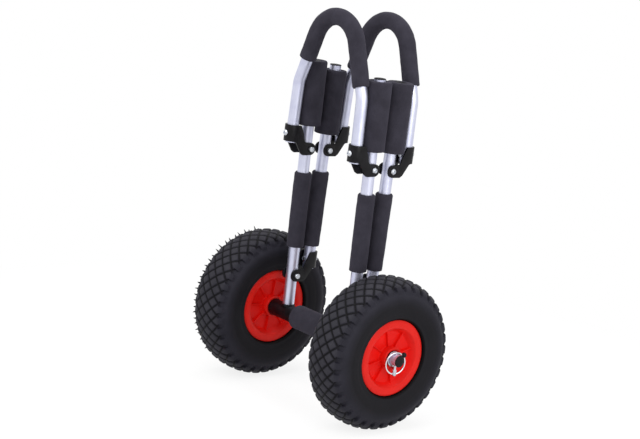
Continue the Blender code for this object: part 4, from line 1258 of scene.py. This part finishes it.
def make_cross_pin(side, sign, spot):
    """The cross pin with its drilled ball head."""
    outline = [
        (0, TUBE_RADIUS, 0),
        (PIN_RADIUS, TUBE_RADIUS, 0.0010),
        (PIN_RADIUS, PIN_NECK, 0.0003),
        (PIN_HEAD_RADIUS, PIN_NECK - PIN_NECK_TAPER, 0.0009),
        (PIN_HEAD_RADIUS, PIN_HEAD_END, 0.0024),
        (0, PIN_HEAD_END, 0),
    ]
    along = Vector((sign * math.sin(EYE_TURN), math.cos(EYE_TURN), 0))
    eye = drill(PIN_EYE_RADIUS, PIN_DRILL, facing(along, UPWARD * PIN_EYE))
    pin = worked(lathed(outline, BOLT_STEPS), [("DIFFERENCE", eye)])
    turn = Matrix.Translation(spot)
    piece(f"cross_pin_{side}", pin, BOLT_STEEL, "frame", [f"linch_pin_{side}"], turn)


def make_pin_ring(side, hinge):
    """The wire ring through the pin's eye, and the bead that is threaded on it."""
    body = f"pin_ring_{side}"
    wire = arc((RING_RADIUS, 0), RING_WIRE, 0, math.tau, math.tau / WIRE_STEPS)[:-1]
    turn = hinge @ facing(ACROSS, UPWARD * RING_RADIUS)
    piece(f"spring_ring_{side}", turned(wire), WIRE_STEEL, body, [f"linch_ring_{side}"], turn)
    outward = Vector((0, math.cos(RING_BEAD_PLACE), math.sin(RING_BEAD_PLACE)))
    half_circle = arc((0, 0), RING_BEAD_RADIUS, QUARTER, -QUARTER, RING_BEAD_STEP)
    bead = turned([(max(p.x, 0), p.y) for p in half_circle], BOLT_STEPS)
    bore = drill(RING_WIRE + 2 * GAP, PIN_DRILL, Matrix.Translation((0, RING_BEAD_OFFSET, 0)))
    bead = worked(bead, [("DIFFERENCE", bore)], RING_BEAD_BEVEL)
    on_wire = UPWARD * RING_RADIUS + outward * (RING_RADIUS + RING_BEAD_OFFSET)
    tangent = Vector((0, -outward.z, outward.y))
    axes = Matrix((tangent.cross(-outward), -outward, tangent)).transposed().to_4x4()
    turn = hinge @ Matrix.Translation(on_wire) @ axes
    piece(f"ring_bead_{side}", bead, END_PLASTIC, body, [f"linch_knob_{side}"], turn)


def make_linch_pin(side, sign):
    """One cross pin and its ring. The joint's place is the pin's eye."""
    eye = HINGES[f"pin_ring_{side}_swing"]
    make_cross_pin(side, sign, Vector((eye.x, eye.y, eye.z - PIN_EYE)))
    make_pin_ring(side, Matrix.Translation((eye.x, 0, eye.z)) @ Matrix.Rotation(-sign * RING_TURN, 4, "Z"))


for side, sign in SIDES.items():
    make_wheel(side, sign)
    make_linch_pin(side, sign)
make_axle()
make_frames()


# Stage

CAMERA_AZIMUTH = 49.60
CAMERA_ELEVATION = 12.37
CAMERA_ROLL = math.radians(6.49)
CAMERA_DISTANCE = 3.3959
CAMERA_PAN = Vector((0.0039, 0.1822))
LENS_MM = 111.18
SENSOR_MM = 36.0
CART_MIDDLE = 0.3  # the height that the lamps look at
FLOOR_SIZE = 8.0
FLOOR_PAINT = 0.8
FLOOR_LIGHT = 1.0  # how bright the lamps leave an open white floor
SHADOW_SHARE = 0.18  # how much of the seen floor's brightness comes from the lamps
OPEN_FLOOR = 1.02  # how bright the seen floor is where nothing shades it
FLOOR_FADE = (0.5, 0.9)
AMBIENT = 0.62


def bearing(azimuth, elevation):
    """A direction from the cart: degrees round from its front to its right, and degrees up."""
    azimuth, elevation = math.radians(azimuth), math.radians(elevation)
    flat = math.cos(elevation)
    return Vector((math.sin(azimuth) * flat, -math.cos(azimuth) * flat, math.sin(elevation)))


def camera_axes():
    """The camera's right, up and backward directions."""
    back = bearing(CAMERA_AZIMUTH, CAMERA_ELEVATION)
    right = (-back).cross(UPWARD).normalized()
    up = right.cross(-back)
    c, s = math.cos(CAMERA_ROLL), math.sin(CAMERA_ROLL)
    return right * c + up * s, up * c - right * s, back


def make_camera(axle_height):
    """The camera, aimed at the axle's middle and then shifted sideways by its pan."""
    right, up, back = camera_axes()
    data = bpy.data.cameras.new("camera")
    data.sensor_width, data.lens, data.clip_end = SENSOR_MM, LENS_MM, 50
    position = UPWARD * axle_height + back * CAMERA_DISTANCE + right * CAMERA_PAN.x + up * CAMERA_PAN.y
    turn = Matrix((right, up, back)).transposed().to_4x4()
    bpy.context.scene.camera = placed("camera", data, Matrix.Translation(position) @ turn)


def make_lamp(name, azimuth, elevation, distance, size, power):
    """A soft box that looks at the cart's middle."""
    direction = bearing(azimuth, elevation)
    data = bpy.data.lights.new(name, "AREA")
    data.shape, data.size, data.energy = "DISK", size, power
    placed(name, data, facing(direction, UPWARD * CART_MIDDLE + direction * distance))


def looking_rays(tree):
    """1 for the rays by which the camera sees a thing, straight or through a shine, and 0 for the rest."""
    rays = add(tree, "LightPath").node.outputs
    sight = add(tree, "Math", {0: rays["Is Camera Ray"], 1: rays["Is Glossy Ray"]}, operation="MAXIMUM")
    return add(tree, "Math", {0: sight, 1: rays["Is Transmission Ray"]}, operation="MAXIMUM")


def make_world():
    """A white surround seen by the camera and in the metal, which lights the cart less brightly."""
    world = bpy.data.worlds.new("studio")
    bpy.context.scene.world = world
    world.use_nodes = True
    tree = world.node_tree
    strength = add(tree, "MapRange", {"Value": looking_rays(tree), "To Min": AMBIENT, "To Max": 1.0})
    feed(tree, tree.nodes["Background"], {"Color": "#ffffff", "Strength": strength})


def make_floor():
    """A pale floor that keeps the cart's shadow and fades to white far out."""
    material, tree = finish("painted studio floor", "#ffffff", 0.9)
    tree.nodes.remove(tree.nodes["Principled BSDF"])
    paint = add(tree, "BsdfDiffuse", {"Color": level(FLOOR_PAINT)})
    shaded = add(tree, "BsdfDiffuse", {"Color": level(SHADOW_SHARE)})
    base = OPEN_FLOOR - SHADOW_SHARE * FLOOR_LIGHT
    pale = add(tree, "Emission", {"Color": "#ffffff", "Strength": base})
    near = add(tree, "AddShader", {0: shaded, 1: pale})
    white = add(tree, "Emission", {"Color": "#ffffff", "Strength": 1.0})
    spot = add(tree, "TexCoord", out="Object")
    away = add(tree, "VectorMath", {0: spot}, out="Value", operation="LENGTH")
    far = add(tree, "MapRange", {"Value": away, "From Min": FLOOR_FADE[0], "From Max": FLOOR_FADE[1]})
    seen = add(tree, "MixShader", {0: far, 1: near, 2: white})
    both = add(tree, "MixShader", {0: looking_rays(tree), 1: paint, 2: seen})
    feed(tree, tree.nodes["Material Output"], {"Surface": both})
    half = FLOOR_SIZE / 2
    mesh = bpy.data.meshes.new("studio_floor")
    corners = [(-half, -half, 0), (half, -half, 0), (half, half, 0), (-half, half, 0)]
    mesh.from_pydata(corners, [], [(0, 1, 2, 3)])
    mesh.materials.append(material)
    placed("studio_floor", mesh)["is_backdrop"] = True


make_camera(middle("axle_tube")[2])
make_lamp("key", azimuth=5, elevation=50, distance=2.6, size=2.2, power=33)
make_lamp("fill", azimuth=85, elevation=22, distance=2.8, size=2.4, power=33)
make_lamp("top", azimuth=180, elevation=75, distance=2.6, size=1.8, power=20)
make_world()
make_floor()
bpy.context.scene.view_settings.view_transform = "Standard"

boxes = {"cad": cad_box, "visual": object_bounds()}
{name: [list(corner) for corner in box] for name, box in boxes.items()}
